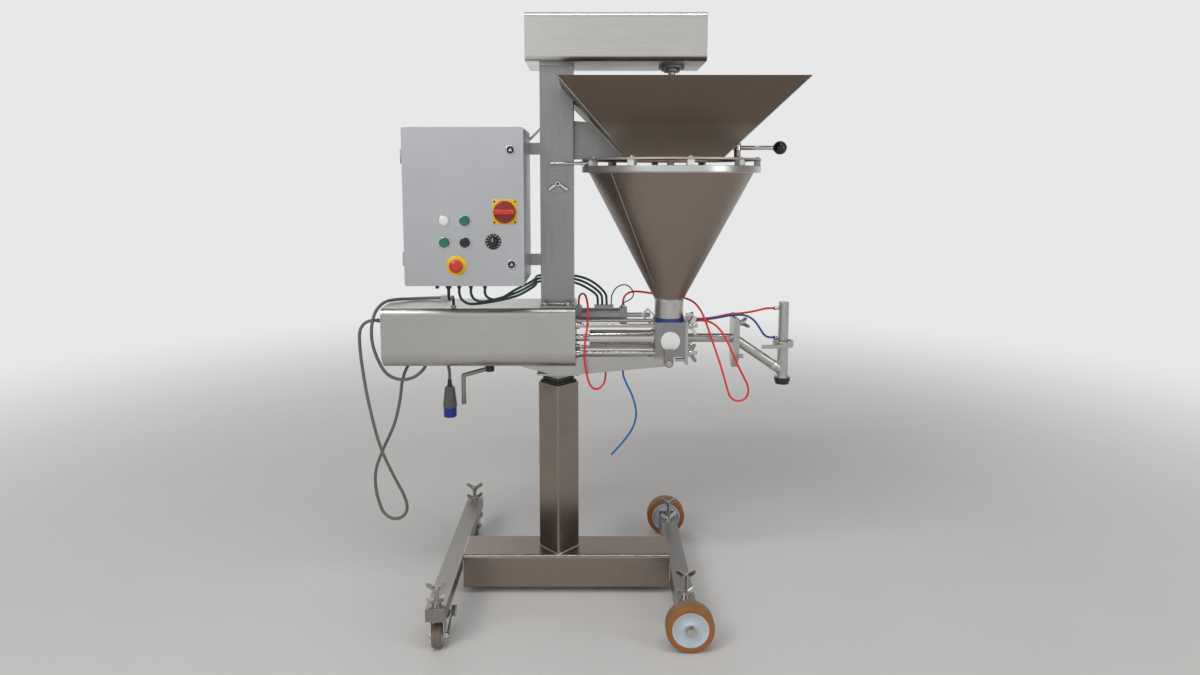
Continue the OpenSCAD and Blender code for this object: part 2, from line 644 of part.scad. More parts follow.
// Square pyramid walls, outer or inner
module pyramid(inset, low, high) {
    a = funnel_foot / 2 - inset;
    b = funnel_side / 2 - inset;
    slope = (b - a) / funnel_height;
    p = a + (low - plate_up) * slope;
    q = a + (high - plate_up) * slope;
    polyhedron(points = [[-p, -p, low], [p, -p, low], [p, p, low], [-p, p, low],
        [-q, -q, high], [q, -q, high], [q, q, high], [-q, q, high]],
        faces = [[0, 1, 2, 3], [4, 7, 6, 5], [0, 4, 5, 1], [1, 5, 6, 2], [2, 6, 7, 3], [3, 7, 4, 0]]);
}
module mast_room(away) {
    side = mast_half + away;
    slab(-funnel_side, side - hopper_x, -side, side, plate_up + 60, mast_top);
}
module hopper_funnel() {
    color(steel) place() translate([hopper_x, 0, 0]) {
        difference() {
            rod_z(rim_r, plate_low, plate_up, 0, 0);
            translate([0, 0, plate_low - 1]) linear_extrude(plate_up - plate_low + 2)
                square(funnel_foot - 6, center = true);
            round_rim() rod_z(bolt_r + 0.2, plate_low - 1, plate_up + 1, 0, -spacer_r);
            rod_z(bolt_r + 0.2, plate_low - 1, plate_up + 1, lever_x - hopper_x, lever_y);
        }
        rod_z(6, plate_low + 1, stud_z + 10, stud_x - hopper_x, 0);
        rod_z(9, plate_up - 1, stud_z - 8, stud_x - hopper_x, 0);
        rod_z(10, stud_z + 8 + gap, stud_z + 13, stud_x - hopper_x, 0);
        // Walls with a folded recess that clears the mast
        difference() {
            pyramid(0, plate_up, plate_up + funnel_height);
            mast_room(2);
            difference() {
                pyramid(3, plate_up - 1, plate_up + funnel_height + 1);
                mast_room(5);
            }
        }
    }
}
module ball_lever() {
    color(dark) place() {
        difference() {
            union() {
                rod_z(11, stud_z - 8, stud_z + 8, stud_x, 0);
                rod_x(6, stud_x + 8, stud_x + 108, 0, stud_z);
                translate([stud_x + 120, 0, stud_z]) sphere(19);
            }
            rod_z(6 + fit, stud_z - 9, stud_z + 9, stud_x, 0);
        }
    }
}
module agitator() {
    color(steel) place() translate([hopper_x, 0, 0]) {
        rod_z(shaft_r, cone_low + 10, head_low + 80, 0, 0);
        for (i = [0:3]) rotate([0, 0, i * 70]) {
            z = cone_low + (rim_low - cone_low) * (3 + 4 * i) / 18;
            reach = neck_r - 22 + (z - cone_low - 14) * (cone_r - neck_r) / (rim_low - cone_low);
            translate([0, 0, z]) rotate([35, 0, 0]) slab(-reach, reach, -11, 11, -2.5, 2.5);
        }
    }
}
module latch_lever() {
    color(steel) place() {
        difference() {
            union() {
                rod_z(11, lever_z - 6, lever_z + 6, lever_x, lever_y);
                rod_x(5.5, lever_x - 30, lever_x - 8, lever_y, lever_z);
                rod_x(4, lever_x - 113, lever_x - 28, lever_y, lever_z);
            }
            rod_z(bolt_r + fit, lever_z - 8, lever_z + 8, lever_x, lever_y);
        }
    }
}

// Valve and product line
module valve_block() {
    color(steel) place() difference() {
        slab(block_left, block_right, -block_y, block_y, block_low, block_up);
        rod_y(plug_d / 2 + fit, -block_y - 1, block_y + 1, spool_x, axis_z);
        rod_x(product_bore / 2, block_left - 1, spool_x, 0, axis_z);
        rod_x(pipe_d / 2 - 2, spool_x, block_right + 1, 0, axis_z);
        rod_z(22, axis_z, block_up + 1, hopper_x, 0);
        for (y = [-tie_y, tie_y]) for (z = [tie_low, tie_up])
            rod_x(tie_d / 2 + tie_play, block_left - 1, block_right + 1, y, z);
    }
}
module valve_plug() {
    color(white) place() {
        difference() {
            rod_y(plug_d / 2, cap_front, block_y, spool_x, axis_z);
            slab(spool_x - plug_d, spool_x + plug_d, -block_y + 10, block_y - 10, axis_z - plug_d, axis_z + 4);
        }
        rod_y(9, block_y - 1, block_y + 14, spool_x, axis_z);
        // Slotted drive arm at the back
        translate([spool_x, 0, axis_z]) rotate([0, -45, 0]) difference() {
            union() {
                rod_y(16, block_y + 4, block_y + 10, 0, 0);
                slab(-15, 15, block_y + 4, block_y + 10, 0, arm_pin + 18);
            }
            slab(-10, 10, block_y + 3, block_y + 11, arm_pin - 34, arm_pin + 12);
        }
    }
}
module valve_actuator() {
    color([0.5, 0.5, 0.52]) place() difference() {
        union() {
            slab(bulkhead, bulkhead + 20, 49, cover_y - sheet - 5, actuator_z - 25, actuator_z + 25);
            rod_x(21, bulkhead + 19, actuator_right - 20, actuator_y, actuator_z);
            slab(actuator_right - 22, actuator_right, 46, 86, actuator_z - 23, actuator_z + 23);
            for (x = [air_front + 18, 189]) rod_z(5, actuator_z + 20, actuator_z + 32, x, actuator_y);
            slab(104, 160, 56, 72, actuator_z + 18, box_up);
        }
        rod_x(7 + fit, air_front + 30, actuator_right + 1, actuator_y, actuator_z);
    }
}
module actuator_rod() {
    color(steel) place() {
        rod_x(7, air_front + 35, spool_x - arm_z + 6, actuator_y, actuator_z);
        rod_y(4, block_y + 2.5, actuator_y - 1, spool_x - arm_z, actuator_z);
    }
}
module plug_strap() {
    color([0.45, 0.42, 0.4]) place() difference() {
        along_y(cap_front - 6, cap_front - 1) {
            translate([strap_x - 13, strap_z]) square([26, 39]);
            translate([strap_x, strap_z]) circle(13);
        }
        rod_y(5 + fit, cap_front - 8, cap_front + 1, strap_x, strap_z);
    }
}
module product_cylinder() {
    color(steel) place() difference() {
        union() {
            rod_x(product_bore / 2 + 3, piston_x - 6, block_left, 0, axis_z);
            rod_x(product_bore / 2 + 6, block_left - 8, block_left, 0, axis_z);
        }
        rod_x(product_bore / 2, piston_x - 7, block_left + 1, 0, axis_z);
    }
}
// Tie rods from the drive to the outlet plate, each with its wing nut
module tie_rods() {
    color(steel) place() for (y = [-tie_y, tie_y]) for (z = [tie_low, tie_up]) {
        rod_x(tie_d / 2, bulkhead, plate_right + 26, y, z);
        rod_x(tie_d / 2 + 4, bulkhead, bulkhead + 14, y, z);
        translate([plate_right, y, z]) rotate([y > 0 ? 100 : z > axis_z ? 78 : 65, 0, 0]) rotate([0, 90, 0]) {
            cylinder(r = 9, h = 12);
            translate([0, 0, 3]) rotate([0, 0, 90]) wings();
        }
    }
}
module piston() {
    color(steel) place() {
        rod_x(rod_r, air_back + 44, piston_x + 20, 0, axis_z);
        rod_x(air_r - fit, air_back + 34, air_back + 54, 0, axis_z);
        rod_x(product_bore / 2 - fit, piston_x, piston_x + head_length, 0, axis_z);
    }
}
// Flange of the nozzle joint, pointed below
module joint_flange(high) {
    low = axis_z - 84;
    polygon([[-30, high], [30, high], [30, low + 40], [8, low], [-8, low], [-30, low + 40]]);
}
module outlet_pipe() {
    color(steel) place() difference() {
        union() {
            slab(block_right, plate_right, -block_y, block_y, plate_foot, block_up + 2);
            rod_x(pipe_d / 2, plate_right - 1, flange_x - 4, 0, axis_z);
            along_x(flange_x - 9, flange_x) joint_flange(axis_z + 62);
            rod_x(5, block_left + 58, block_right + 1, -tie_y, plate_foot + 13);
            slab(plate_right - 1, plate_right + 18, -24, 24, outlet_port_z - 15, outlet_port_z + 15);
            for (y = [-15, 0, 15]) rod_x(4.5, plate_right + 17, port_end, y, outlet_port_z);
        }
        rod_x(pipe_d / 2 - 2, block_right - 1, flange_x + 1, 0, axis_z);
        for (y = [-tie_y, tie_y]) for (z = [tie_low, tie_up])
            rod_x(tie_d / 2 + tie_play, block_right - 1, plate_right + 1, y, z);
    }
}
// Flange, sloping tube and upright nozzle tube, welded
module nozzle_body() {
    drop = axis_z - 6 - elbow_z;
    reach = nozzle_x - flange_x - 6;
    run = sqrt(pow(drop, 2) + pow(reach, 2));
    turn = 90 + atan2(drop, reach);
    stud_up = axis_z + 44;
    color(steel) place() difference() {
        union() {
            along_x(flange_x, flange_x + 9) joint_flange(axis_z + 58);
            intersection() {
                translate([flange_x + 6, 0, axis_z - 6]) rotate([0, turn, 0]) cylinder(r = 14, h = run);
                slab(flange_x + 4, nozzle_x, -30, 30, elbow_z - 46, axis_z + 56);
            }
            rod_z(nozzle_d / 2, nozzle_low, ferrule_z + 2, nozzle_x, 0);
            rod_z(ferrule_r, ferrule_z, ferrule_z + 5, nozzle_x, 0);
            rod_z(nozzle_d / 2 + 4, nozzle_low, nozzle_low + 5, nozzle_x, 0);
            for (z = [axis_z - 54, stud_up]) rod_x(6, flange_x + 8, flange_x + 26, 0, z);
            translate([flange_x + 16, 0, stud_up]) rotate([20, 0, 0]) rotate([0, 90, 0]) {
                cylinder(r = 9, h = 11);
                translate([0, 0, 2]) rotate([0, 0, 90]) wings();
            }
        }
        rod_z(nozzle_in, nozzle_low - 1, ferrule_z + 6, nozzle_x, 0);
        translate([flange_x + 6, 0, axis_z - 6]) rotate([0, turn, 0]) translate([0, 0, 4])
            cylinder(r = 11, h = run - 4);
        rod_x(pipe_d / 2 - 2, flange_x - 1, flange_x + 14, 0, axis_z);
    }
}
module nozzle_clamp() {
    r = ferrule_r + 0.3;
    color(steel) place() {
        difference() {
            rod_z(r + 5, ferrule_z - 2, ferrule_z + 14, nozzle_x, 0);
            rod_z(r, ferrule_z - 3, ferrule_z + 15, nozzle_x, 0);
        }
        rod_y(5, -r - 12, -r - 4, nozzle_x - 10, ferrule_z + 6);
        slab(nozzle_x - r - 44, nozzle_x - 8, -r - 16, -r - 10, ferrule_z - 1, ferrule_z + 9);
    }
}
module cutoff_cylinder() {
    z = ferrule_z + 7;
    color(steel) place() difference() {
        union() {
            rod_z(ferrule_r, z, z + 5, nozzle_x, 0);
            rod_z(nozzle_d / 2 - 1, z, cutoff_top, nozzle_x, 0);
            rod_x(4, nozzle_x - nozzle_d / 2 - 14, nozzle_x, 0, cutoff_top - 18);
            rod_x(4, nozzle_x - nozzle_d / 2 - 12, nozzle_x, 0, z + 16);
        }
        rod_z(cutoff_bore, z + 8, cutoff_top - 4, nozzle_x, 0);
        rod_z(4 + fit, z - 1, z + 9, nozzle_x, 0);
    }
    color(dark) place() difference() {
        rod_z(ferrule_r - 1, ferrule_z + 5, z, nozzle_x, 0);
        rod_z(nozzle_in, ferrule_z + 4, z + 1, nozzle_x, 0);
    }
}
module cutoff_plunger() {
    color(steel) place() {
        rod_z(4, nozzle_low + 4, ferrule_z + 30, nozzle_x, 0);
        rod_z(cutoff_bore - fit, ferrule_z + 20, ferrule_z + 30, nozzle_x, 0);
        rod_z(nozzle_in - fit, nozzle_low - 14, nozzle_low + 6, nozzle_x, 0);
    }
}
module nozzle_tip() {
    color(dark) place() difference() {
        union() {
            rod_z(nozzle_d / 2 + 7, nozzle_low - 10, nozzle_low, nozzle_x, 0);
            rod_z(nozzle_d / 2 + 4, nozzle_low - 18, nozzle_low - 9, nozzle_x, 0);
        }
        rod_z(nozzle_in, nozzle_low - 19, nozzle_low + 1, nozzle_x, 0);
    }
}
module crank() {
    color(dark) place() translate([crank_x, crank_y, 0]) {
        rod_z(8, cover_under - 22, cover_under + 12, 0, 0);
        rod_z(13, cover_under - 24, cover_under - 6, 0, 0);
        translate([0, 0, cover_under - 15]) rotate([0, -106, 0]) cylinder(r = 6, h = 80);
        rod_z(6.5, cover_under - 121, cover_under - 31, -76, 0);
    }
}

// Control box
module box_outline(inset) {
    translate([(box_left + box_right) / 2, (box_low + box_high) / 2])
        rounded(box_width - 2 * inset, box_height - 2 * inset, box_corner - inset);
}
module enclosure() {
    color(steel) place() {
        difference() {
            along_y(door_back, box_back) box_outline(0);
            along_y(door_back - 1, box_back - sheet) box_outline(sheet);
            for (i = [0:4]) rod_z(gland_hole, box_low - 1, box_low + 5, box_left + gland_at[i], gland_y);
        }
        for (z = hinge_places) {
            rod_z(knuckle_r, z, z + knuckle, pin_x, door_back);
            rod_z(pin_r, z, z + 2 * knuckle, pin_x, door_back);
            slab(pin_x, box_left, door_back, door_back + 16, z, z + knuckle);
        }
    }
}
module cable_glands() {
    color(dark) place() for (i = [0:4]) translate([box_left + gland_at[i], gland_y, 0]) {
        r = i == 1 ? 10 : 7.5;
        rod_z(gland_hole, box_low - 2, box_low + 8, 0, 0);
        rod_z(r, box_low - 8, box_low, 0, 0, $fn = 6);
        rod_z(r - 2.5, gland_low, box_low - 7, 0, 0);
    }
}
module door() {
    color(steel) place() {
        difference() {
            along_y(box_front, door_back) box_outline(0);
            along_y(box_front + sheet, door_back + 1) box_outline(sheet);
            for (p = concat(button_places, other_places))
                rod_y(door_hole, box_front - 1, box_front + 5, p[0], p[1]);
        }
        for (z = hinge_places) difference() {
            union() {
                rod_z(knuckle_r, z + knuckle + gap, z + 2 * knuckle, pin_x, door_back);
                slab(pin_x, box_left, box_front + sheet, door_back, z + knuckle + gap, z + 2 * knuckle);
            }
            rod_z(pin_r + fit, z + knuckle - 1, z + 2 * knuckle + 1, pin_x, door_back);
        }
    }
}
// Bezels, lamp, plates and key locks that stay still on the door
module bezel(x, z, r, hole, h) {
    difference() {
        union() {
            rod_y(r, box_front - h, box_front, x, z);
            rod_y(door_hole, box_front - 1, box_front + 14, x, z);
        }
        rod_y(hole, box_front - h - 1, box_front + 15, x, z);
    }
}
module door_fittings() {
    color([0.95, 0.75, 0.1]) place() {
        for (p = button_places) bezel(p[0], p[1], 14, stem_r + fit, bezel_h);
        bezel(stop_x, stop_z, 26, stem_r + fit, bezel_h);
        bezel(knob_x, knob_z, 20, 3 + fit, 2);
        difference() {
            union() {
                slab(switch_x - 31, switch_x + 31, box_front - 3, box_front, switch_z - 31, switch_z + 31);
                rod_y(door_hole, box_front - 1, box_front + 14, switch_x, switch_z);
            }
            rod_y(6 + fit, box_front - 4, box_front + 15, switch_x, switch_z);
        }
        rod_y(13, box_front - 9, box_front, lamp_x, upper_z);
        rod_y(door_hole, box_front - 1, box_front + 14, lamp_x, upper_z);
        for (z = [box_low + 55, box_high - 57]) rod_y(10, box_front - 4, box_front, box_right - 32, z);
    }
}
// Button cap and stem, pressed towards +y
module push_button(x, z, r, cap) {
    rod_y(r, box_front - bezel_h - 5 - cap, box_front - bezel_h - 5, x, z);
    rod_y(stem_r, box_front - bezel_h - 6, box_front + 16, x, z);
}
module button_upper() { color([0.1, 0.5, 0.3]) place() push_button(press_x, upper_z, 12, 4); }
module button_lower() { color([0.1, 0.5, 0.3]) place() push_button(lamp_x, lower_z, 12, 4); }
module button_black() { color(dark) place() push_button(press_x, lower_z, 12, 4); }
// Domed head that overhangs its stem
module stop_button() {
    low = bezel_h + 5;
    head = 14;
    dome = 27;
    color([0.8, 0.1, 0.1]) place() translate([stop_x, box_front, stop_z]) rotate([90, 0, 0]) {
        intersection() {
            translate([0, 0, low]) cylinder(r1 = 13, r2 = 13 + head, h = head);
            translate([0, 0, low]) cylinder(r = 17, h = head);
            translate([0, 0, low + head - dome]) sphere(dome);
        }
        translate([0, 0, -16]) cylinder(r = stem_r, h = low + 17);
    }
}
module main_switch() {
    color([0.7, 0.05, 0.05]) place() {
        rod_y(28, box_front - 12, box_front - 3 - gap, switch_x, switch_z);
        slab(switch_x - 26, switch_x + 26, box_front - 26, box_front - 11, switch_z - 8, switch_z + 8);
        rod_y(6, box_front - 5, box_front + 16, switch_x, switch_z);
    }
}
module speed_knob() {
    color(dark) place() {
        rod_y(12, box_front - 18, box_front - 2 - gap, knob_x, knob_z);
        slab(knob_x - 1.5, knob_x + 1.5, box_front - 20, box_front - 17, knob_z, knob_z + 12);
        rod_y(3, box_front - 4, box_front + 16, knob_x, knob_z);
    }
}

// Cords: a smooth curve through the route points, swept with a round section
function pace(a, b) = sqrt(norm(b - a));
function slope(a, b, c) =
    (b - a) / pace(a, b) - (c - a) / (pace(a, b) + pace(b, c)) + (c - b) / pace(b, c);
function curve(a, b, c, d, t) = b + t * t * (3 - 2 * t) * (c - b)
    + pace(b, c) * (t * (1 - t) * (1 - t) * slope(a, b, c) - t * t * (1 - t) * slope(b, c, d));
function smooth(p, n) =
    let (last = len(p) - 1, e = concat([2 * p[0] - p[1]], p, [2 * p[last] - p[last - 1]]))
    concat([for (i = [1:last]) for (j = [0:n - 1])
        curve(e[i - 1], e[i], e[i + 1], e[i + 2], j / n)], [p[last]]);
function unit(v) = v / norm(v);
function headings(p, q) = concat([unit(p[1] - p[0])], [for (i = [1:len(q) - 2]) unit(q[i + 1] - q[i - 1])],
    [unit(p[len(p) - 1] - p[len(p) - 2])]);
function across(h, u) = unit(u - (u * h) * h);
function carried(h, i, u) = i == len(h) ? [] : let (v = across(h[i], u)) concat([v], carried(h, i + 1, v));
module cord(p, d, sides = 10, n = 2) {
    q = smooth(p, n);
    h = headings(p, q);
    v = carried(h, 0, abs(h[0][1]) > 0.8 ? [1, 0, 0] : [0, 1, 0]);
    last = len(q) - 1;
    points = [for (i = [0:last]) for (k = [0:sides - 1])
        q[i] + d / 2 * (cos(360 * k / sides) * v[i] + sin(360 * k / sides) * cross(h[i], v[i]))];
    walls = [for (i = [0:last - 1]) for (k = [0:sides - 1])
        [i * sides + k, (i + 1) * sides + k, (i + 1) * sides + (k + 1) % sides, i * sides + (k + 1) % sides]];
    ends = [[for (k = [0:sides - 1]) k], [for (k = [sides - 1:-1:0]) last * sides + k]];
    polyhedron(points = points, faces = concat(walls, ends), convexity = 8);
}
module mains_cable() {
    color([0.45, 0.45, 0.46]) place() {
        cord(mains_route, 9, 12);
        cord(lead_route, 9);
    }
}
// Round plug with a tapered strain relief, a sleeve and three pins, hanging from its top
module mains_plug() {
    color([0.3, 0.4, 0.6]) place() translate([plug_x, plug_y, plug_high]) {
        translate([0, 0, -24]) cylinder(r1 = 8.5, r2 = 5.2, h = 24);
        translate([0, 0, -80]) cylinder(r1 = 20, r2 = 13, h = 58);
        difference() {
            rod_z(18.5, -110, -79, 0, 0);
            rod_z(16, -111, -83, 0, 0);
        }
        for (a = [90:120:330]) rotate([0, 0, a]) rod_z(2.5, -106, -82, 8.5, 0);
    }
}
// Three control leads side by side, the lead into the cover and a thin sensor lead
module control_cables() {
    color([0.1, 0.25, 0.2]) place() {
        for (i = [0:2]) {
            x = box_left + gland_at[i + 2];
            end_x = 114 + 13 * i;
            cord(concat([[x, gland_y, gland_low], [x, gland_y, gland_low - 12],
                [x + 5, gland_y + 4, 882 + 3 * i], [x + 18, gland_y + 12, 870 + 5 * i],
                [x + 36, gland_y + 22, 866 + 7 * i]],
                [for (p = green_run) p + [p[0] > 30 ? 8 * i : 0, 0, 9 * i]],
                [[end_x - 3, 64.2, 857 + 2 * i], [end_x, 64, 842], [end_x, 64, box_up]]), 7);
        }
        cord(black_route, 8, n = 1);
        cord(sensor_route, 3.5, 8, 1);
    }
}
module air_hoses() {
    color([0.8, 0.1, 0.1]) place() {
        cord(red_left, 6);
        cord(red_right, 6);
        cord(red_nozzle, 6, n = 1);
    }
    color([0.1, 0.3, 0.8]) place() {
        cord(blue_nozzle, 6, n = 1);
        cord(blue_free, 6, n = 1);
    }
}

pedestal();
left_leg();
right_leg();
column_bush();
base_fasteners();
wheel_front();
wheel_rear();
fork_front();
fork_rear();
caster_front();
caster_rear();
pedal_front();
pedal_rear();
brake_screw_front();
brake_screw_rear();
jack_screw_front();
jack_screw_rear();
lift_frame();
drive_cover();
air_cylinder();
mast();
top_cover();
agitator_drive();
hopper_cone();
neck_seal();
spacer_blocks();
rim_bolts();
hopper_funnel();
ball_lever();
valve_block();
product_cylinder();
tie_rods();
outlet_pipe();
nozzle_body();
nozzle_clamp();
cutoff_cylinder();
nozzle_tip();
valve_actuator();
enclosure();
cable_glands();
agitator();
crank();
piston();
valve_plug();
actuator_rod();
plug_strap();
cutoff_plunger();
latch_lever();
door();
door_fittings();
main_switch();
speed_knob();
stop_button();
button_upper();
button_lower();
button_black();
mains_cable();
mains_plug();
control_cables();
air_hoses();
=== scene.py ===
import math

import bmesh
import bpy
from mathutils import Matrix, Vector


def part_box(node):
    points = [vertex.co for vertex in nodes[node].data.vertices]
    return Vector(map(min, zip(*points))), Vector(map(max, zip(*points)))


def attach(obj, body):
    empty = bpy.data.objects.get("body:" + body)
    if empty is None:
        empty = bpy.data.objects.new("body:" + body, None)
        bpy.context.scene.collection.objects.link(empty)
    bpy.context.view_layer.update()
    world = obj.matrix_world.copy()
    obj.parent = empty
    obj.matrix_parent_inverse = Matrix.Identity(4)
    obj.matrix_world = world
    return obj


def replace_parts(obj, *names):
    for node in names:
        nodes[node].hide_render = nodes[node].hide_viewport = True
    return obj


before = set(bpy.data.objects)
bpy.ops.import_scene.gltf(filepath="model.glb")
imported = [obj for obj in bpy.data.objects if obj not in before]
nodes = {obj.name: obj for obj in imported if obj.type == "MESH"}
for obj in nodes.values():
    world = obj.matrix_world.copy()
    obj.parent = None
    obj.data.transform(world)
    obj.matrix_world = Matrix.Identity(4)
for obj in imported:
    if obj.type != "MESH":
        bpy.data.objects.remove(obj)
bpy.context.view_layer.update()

# Places are in millimetres from the column axis, as in the part's source
bush_low, bush_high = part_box("column_bush")
COLUMN_X = (bush_low.x + bush_high.x) / 2


def at(x, y, z):
    return Vector((COLUMN_X + x / 1000, y / 1000, z / 1000))


# Main places
HOPPER_X = 318
LEFT_X, RIGHT_X = -300, 347
WHEEL_Y, WHEEL_HALF, AXLE_Z = 318, 20, 62.5
CASTER_Y, CASTER_Z = 304, 30
BEAM_LEFT, BEAM_RIGHT, BEAM_LOW, BEAM_TOP, BEAM_Y = -275, 322, 18, 118, 63
COLUMN_CORNER = 60
LEG_TOP, LEG_UNDER = 88.5, 84
AXIS_Z, ELBOW_Z = 744, 646
COVER_LEFT, COVER_TOP, COVER_UNDER = -485, 845, 675
MAST_HALF, MAST_LOW, MAST_TOP = 46, 851, 1510
PORT_END, PORT_Z = 397, 797
FLANGE_X, FLANGE_TOP, NOZZLE_X, NOZZLE_R = 508, 806, 648, 15.5
CONE_LOW, RIM_LOW, PLATE_UP, RIM_R, SLOT_Z = 857, 1217, 1254, 249, 1175
NECK_R, CONE_R, SPACER_R, SPACER_TURN = 41, 230, 238, 6
LATCH_X, LATCH_Y = 94, -62
FUNNEL_FOOT, FUNNEL_SIDE, FUNNEL_TOP = 252, 608, 1446
BOX_LEFT, BOX_RIGHT, BOX_FRONT, DOOR_BACK, BOX_LOW, BOX_HIGH = -378, -74, -240, -222, 929, 1328
LAMP_X, PRESS_X, UPPER_Z, LOWER_Z = BOX_LEFT + 103, BOX_LEFT + 155, BOX_LOW + 166, BOX_LOW + 111
SWITCH_X, SWITCH_Z = BOX_LEFT + 256, BOX_LOW + 188
KNOB_X, KNOB_Z = BOX_LEFT + 226, BOX_LOW + 113
STOP_X, STOP_Z = BOX_LEFT + 133, BOX_LOW + 52
GLAND_AT = [66, 96, 124, 155, 192]
GLAND_Y, GLAND_LOW = DOOR_BACK + 60, BOX_LOW - 18
ACTUATOR_AT, ACTUATOR_Y, ACTUATOR_PORT = [58, 189], 63, 831
PORT_AT, PORT_Y, PORT_LOW = [136, 186], -24, 662
PLUG_X, PLUG_Y, PLUG_HIGH = -312, -20, 628
LEAD_Y, LEAD_Z = -30, 800
CUTOFF_TOP_X, CUTOFF_TOP_Z = NOZZLE_X - NOZZLE_R - 14, 830
CUTOFF_LOW_X, CUTOFF_LOW_Z = NOZZLE_X - NOZZLE_R - 12, 745
CRANK_X, CRANK_Y = -196, -20
STUD_X, STUD_Z = 505, 1286

# Camera as fitted to the photograph
PHOTO_WIDTH, FOCAL_PIXELS = 1200, 745
camera_data = bpy.data.cameras.new("camera")
camera_data.sensor_width = 36
camera_data.lens = 36 * FOCAL_PIXELS / PHOTO_WIDTH
camera_data.shift_x = 0.0067
camera_data.shift_y = -0.0677
camera = bpy.data.objects.new("camera", camera_data)
camera.location = at(96.9, -2112, 1201.9)
camera.rotation_euler = (math.radians(84), 0, 0)
bpy.context.scene.collection.objects.link(camera)
bpy.context.scene.camera = camera


# Materials
def new_material(name):
    material = bpy.data.materials.new(name)
    material.use_nodes = True
    return material, material.node_tree, material.node_tree.nodes["Principled BSDF"]


def span(tree, source, low, high, from_low=0.0, from_high=1.0, easing="LINEAR"):
    node = tree.nodes.new("ShaderNodeMapRange")
    node.interpolation_type = easing
    node.inputs["From Min"].default_value = from_low
    node.inputs["From Max"].default_value = from_high
    node.inputs["To Min"].default_value = low
    node.inputs["To Max"].default_value = high
    tree.links.new(source, node.inputs["Value"])
    return node.outputs["Result"]


def noise(tree, scale, stretch=(1, 1, 1), detail=4.0):
    place = tree.nodes.new("ShaderNodeTexCoord")
    mapping = tree.nodes.new("ShaderNodeMapping")
    mapping.inputs["Scale"].default_value = stretch
    texture = tree.nodes.new("ShaderNodeTexNoise")
    texture.inputs["Scale"].default_value = scale
    texture.inputs["Detail"].default_value = detail
    tree.links.new(place.outputs["Object"], mapping.inputs["Vector"])
    tree.links.new(mapping.outputs["Vector"], texture.inputs["Vector"])
    return texture.outputs["Fac"]


def mixed(tree, factor, first, second):
    node = tree.nodes.new("ShaderNodeMix")
    node.data_type = "RGBA"
    node.inputs[6].default_value = (*first, 1)
    node.inputs[7].default_value = (*second, 1)
    tree.links.new(factor, node.inputs[0])
    return node.outputs[2]


def relief(tree, shader, height, strength, radius):
    bump = tree.nodes.new("ShaderNodeBump")
    bump.inputs["Strength"].default_value = strength
    bump.inputs["Distance"].default_value = 0.0004
    tree.links.new(height, bump.inputs["Height"])
    if radius > 0:
        bevel = tree.nodes.new("ShaderNodeBevel")
        bevel.samples = 4
        bevel.inputs["Radius"].default_value = radius
        tree.links.new(bevel.outputs["Normal"], bump.inputs["Normal"])
    tree.links.new(bump.outputs["Normal"], shader.inputs["Normal"])


def steel(name, brush, tint=(0.56, 0.55, 0.53), rough=(0.24, 0.40), edge=0.0012, grain=0.10, shade=0.82):
    """Brushed metal: streaks along one direction over a slow cloud of handling marks."""
    material, tree, shader = new_material(name)
    shader.inputs["Metallic"].default_value = 1.0
    streaks = noise(tree, 90, brush, 6)
    cloud = noise(tree, 5, (1, 1, 1), 3)
    both = tree.nodes.new("ShaderNodeMath")
    both.operation = "MULTIPLY_ADD"
    both.inputs[1].default_value = 0.55
    tree.links.new(span(tree, streaks, 0.0, 1.0, 0.3, 0.7), both.inputs[0])
    tree.links.new(span(tree, cloud, 0.0, 0.45, 0.3, 0.7), both.inputs[2])
    dark = tuple(shade * c for c in tint)
    tree.links.new(mixed(tree, both.outputs[0], dark, tint), shader.inputs["Base Color"])
    tree.links.new(span(tree, both.outputs[0], rough[1], rough[0]), shader.inputs["Roughness"])
    relief(tree, shader, streaks, grain, edge)
    return material


def lighten_foot(material, tint, low, high):
    """Blends a lighter tint into a metal's colour below a height."""
    tree = material.node_tree
    shader = tree.nodes["Principled BSDF"]
    place = tree.nodes.new("ShaderNodeTexCoord")
    split = tree.nodes.new("ShaderNodeSeparateXYZ")
    tree.links.new(place.outputs["Object"], split.inputs["Vector"])
    blend = tree.nodes.new("ShaderNodeMix")
    blend.data_type = "RGBA"
    blend.inputs[6].default_value = (*tint, 1)
    tree.links.new(span(tree, split.outputs["Z"], 0.0, 1.0, low, high), blend.inputs[0])
    tree.links.new(shader.inputs["Base Color"].links[0].from_socket, blend.inputs[7])
    tree.links.new(blend.outputs[2], shader.inputs["Base Color"])


def stretch_glint(material, amount):
    """Draws highlights out along the slope of a form that was spun about its upright axis."""
    tree = material.node_tree
    shader = tree.nodes["Principled BSDF"]
    tangent = tree.nodes.new("ShaderNodeTangent")
    tangent.direction_type = "RADIAL"
    tangent.axis = "Z"
    tree.links.new(tangent.outputs["Tangent"], shader.inputs["Tangent"])
    shader.inputs["Anisotropic"].default_value = amount


def plastic(name, colour, rough=0.4, grain=220, bump=0.12, edge=0.0006, coat=0.0, vary=0.12):
    """Moulded plastic, rubber or paint: fine grain with slow changes of shade and gloss."""
    material, tree, shader = new_material(name)
    fine = noise(tree, grain, (1, 1, 1), 5)
    cloud = noise(tree, 14, (1, 1, 1), 3)
    dark = tuple(c * (1 - vary) for c in colour)
    tree.links.new(mixed(tree, cloud, dark, colour), shader.inputs["Base Color"])
    tree.links.new(span(tree, cloud, rough - 0.06, rough + 0.08), shader.inputs["Roughness"])
    shader.inputs["Coat Weight"].default_value = coat
    relief(tree, shader, fine, bump, edge)
    return material


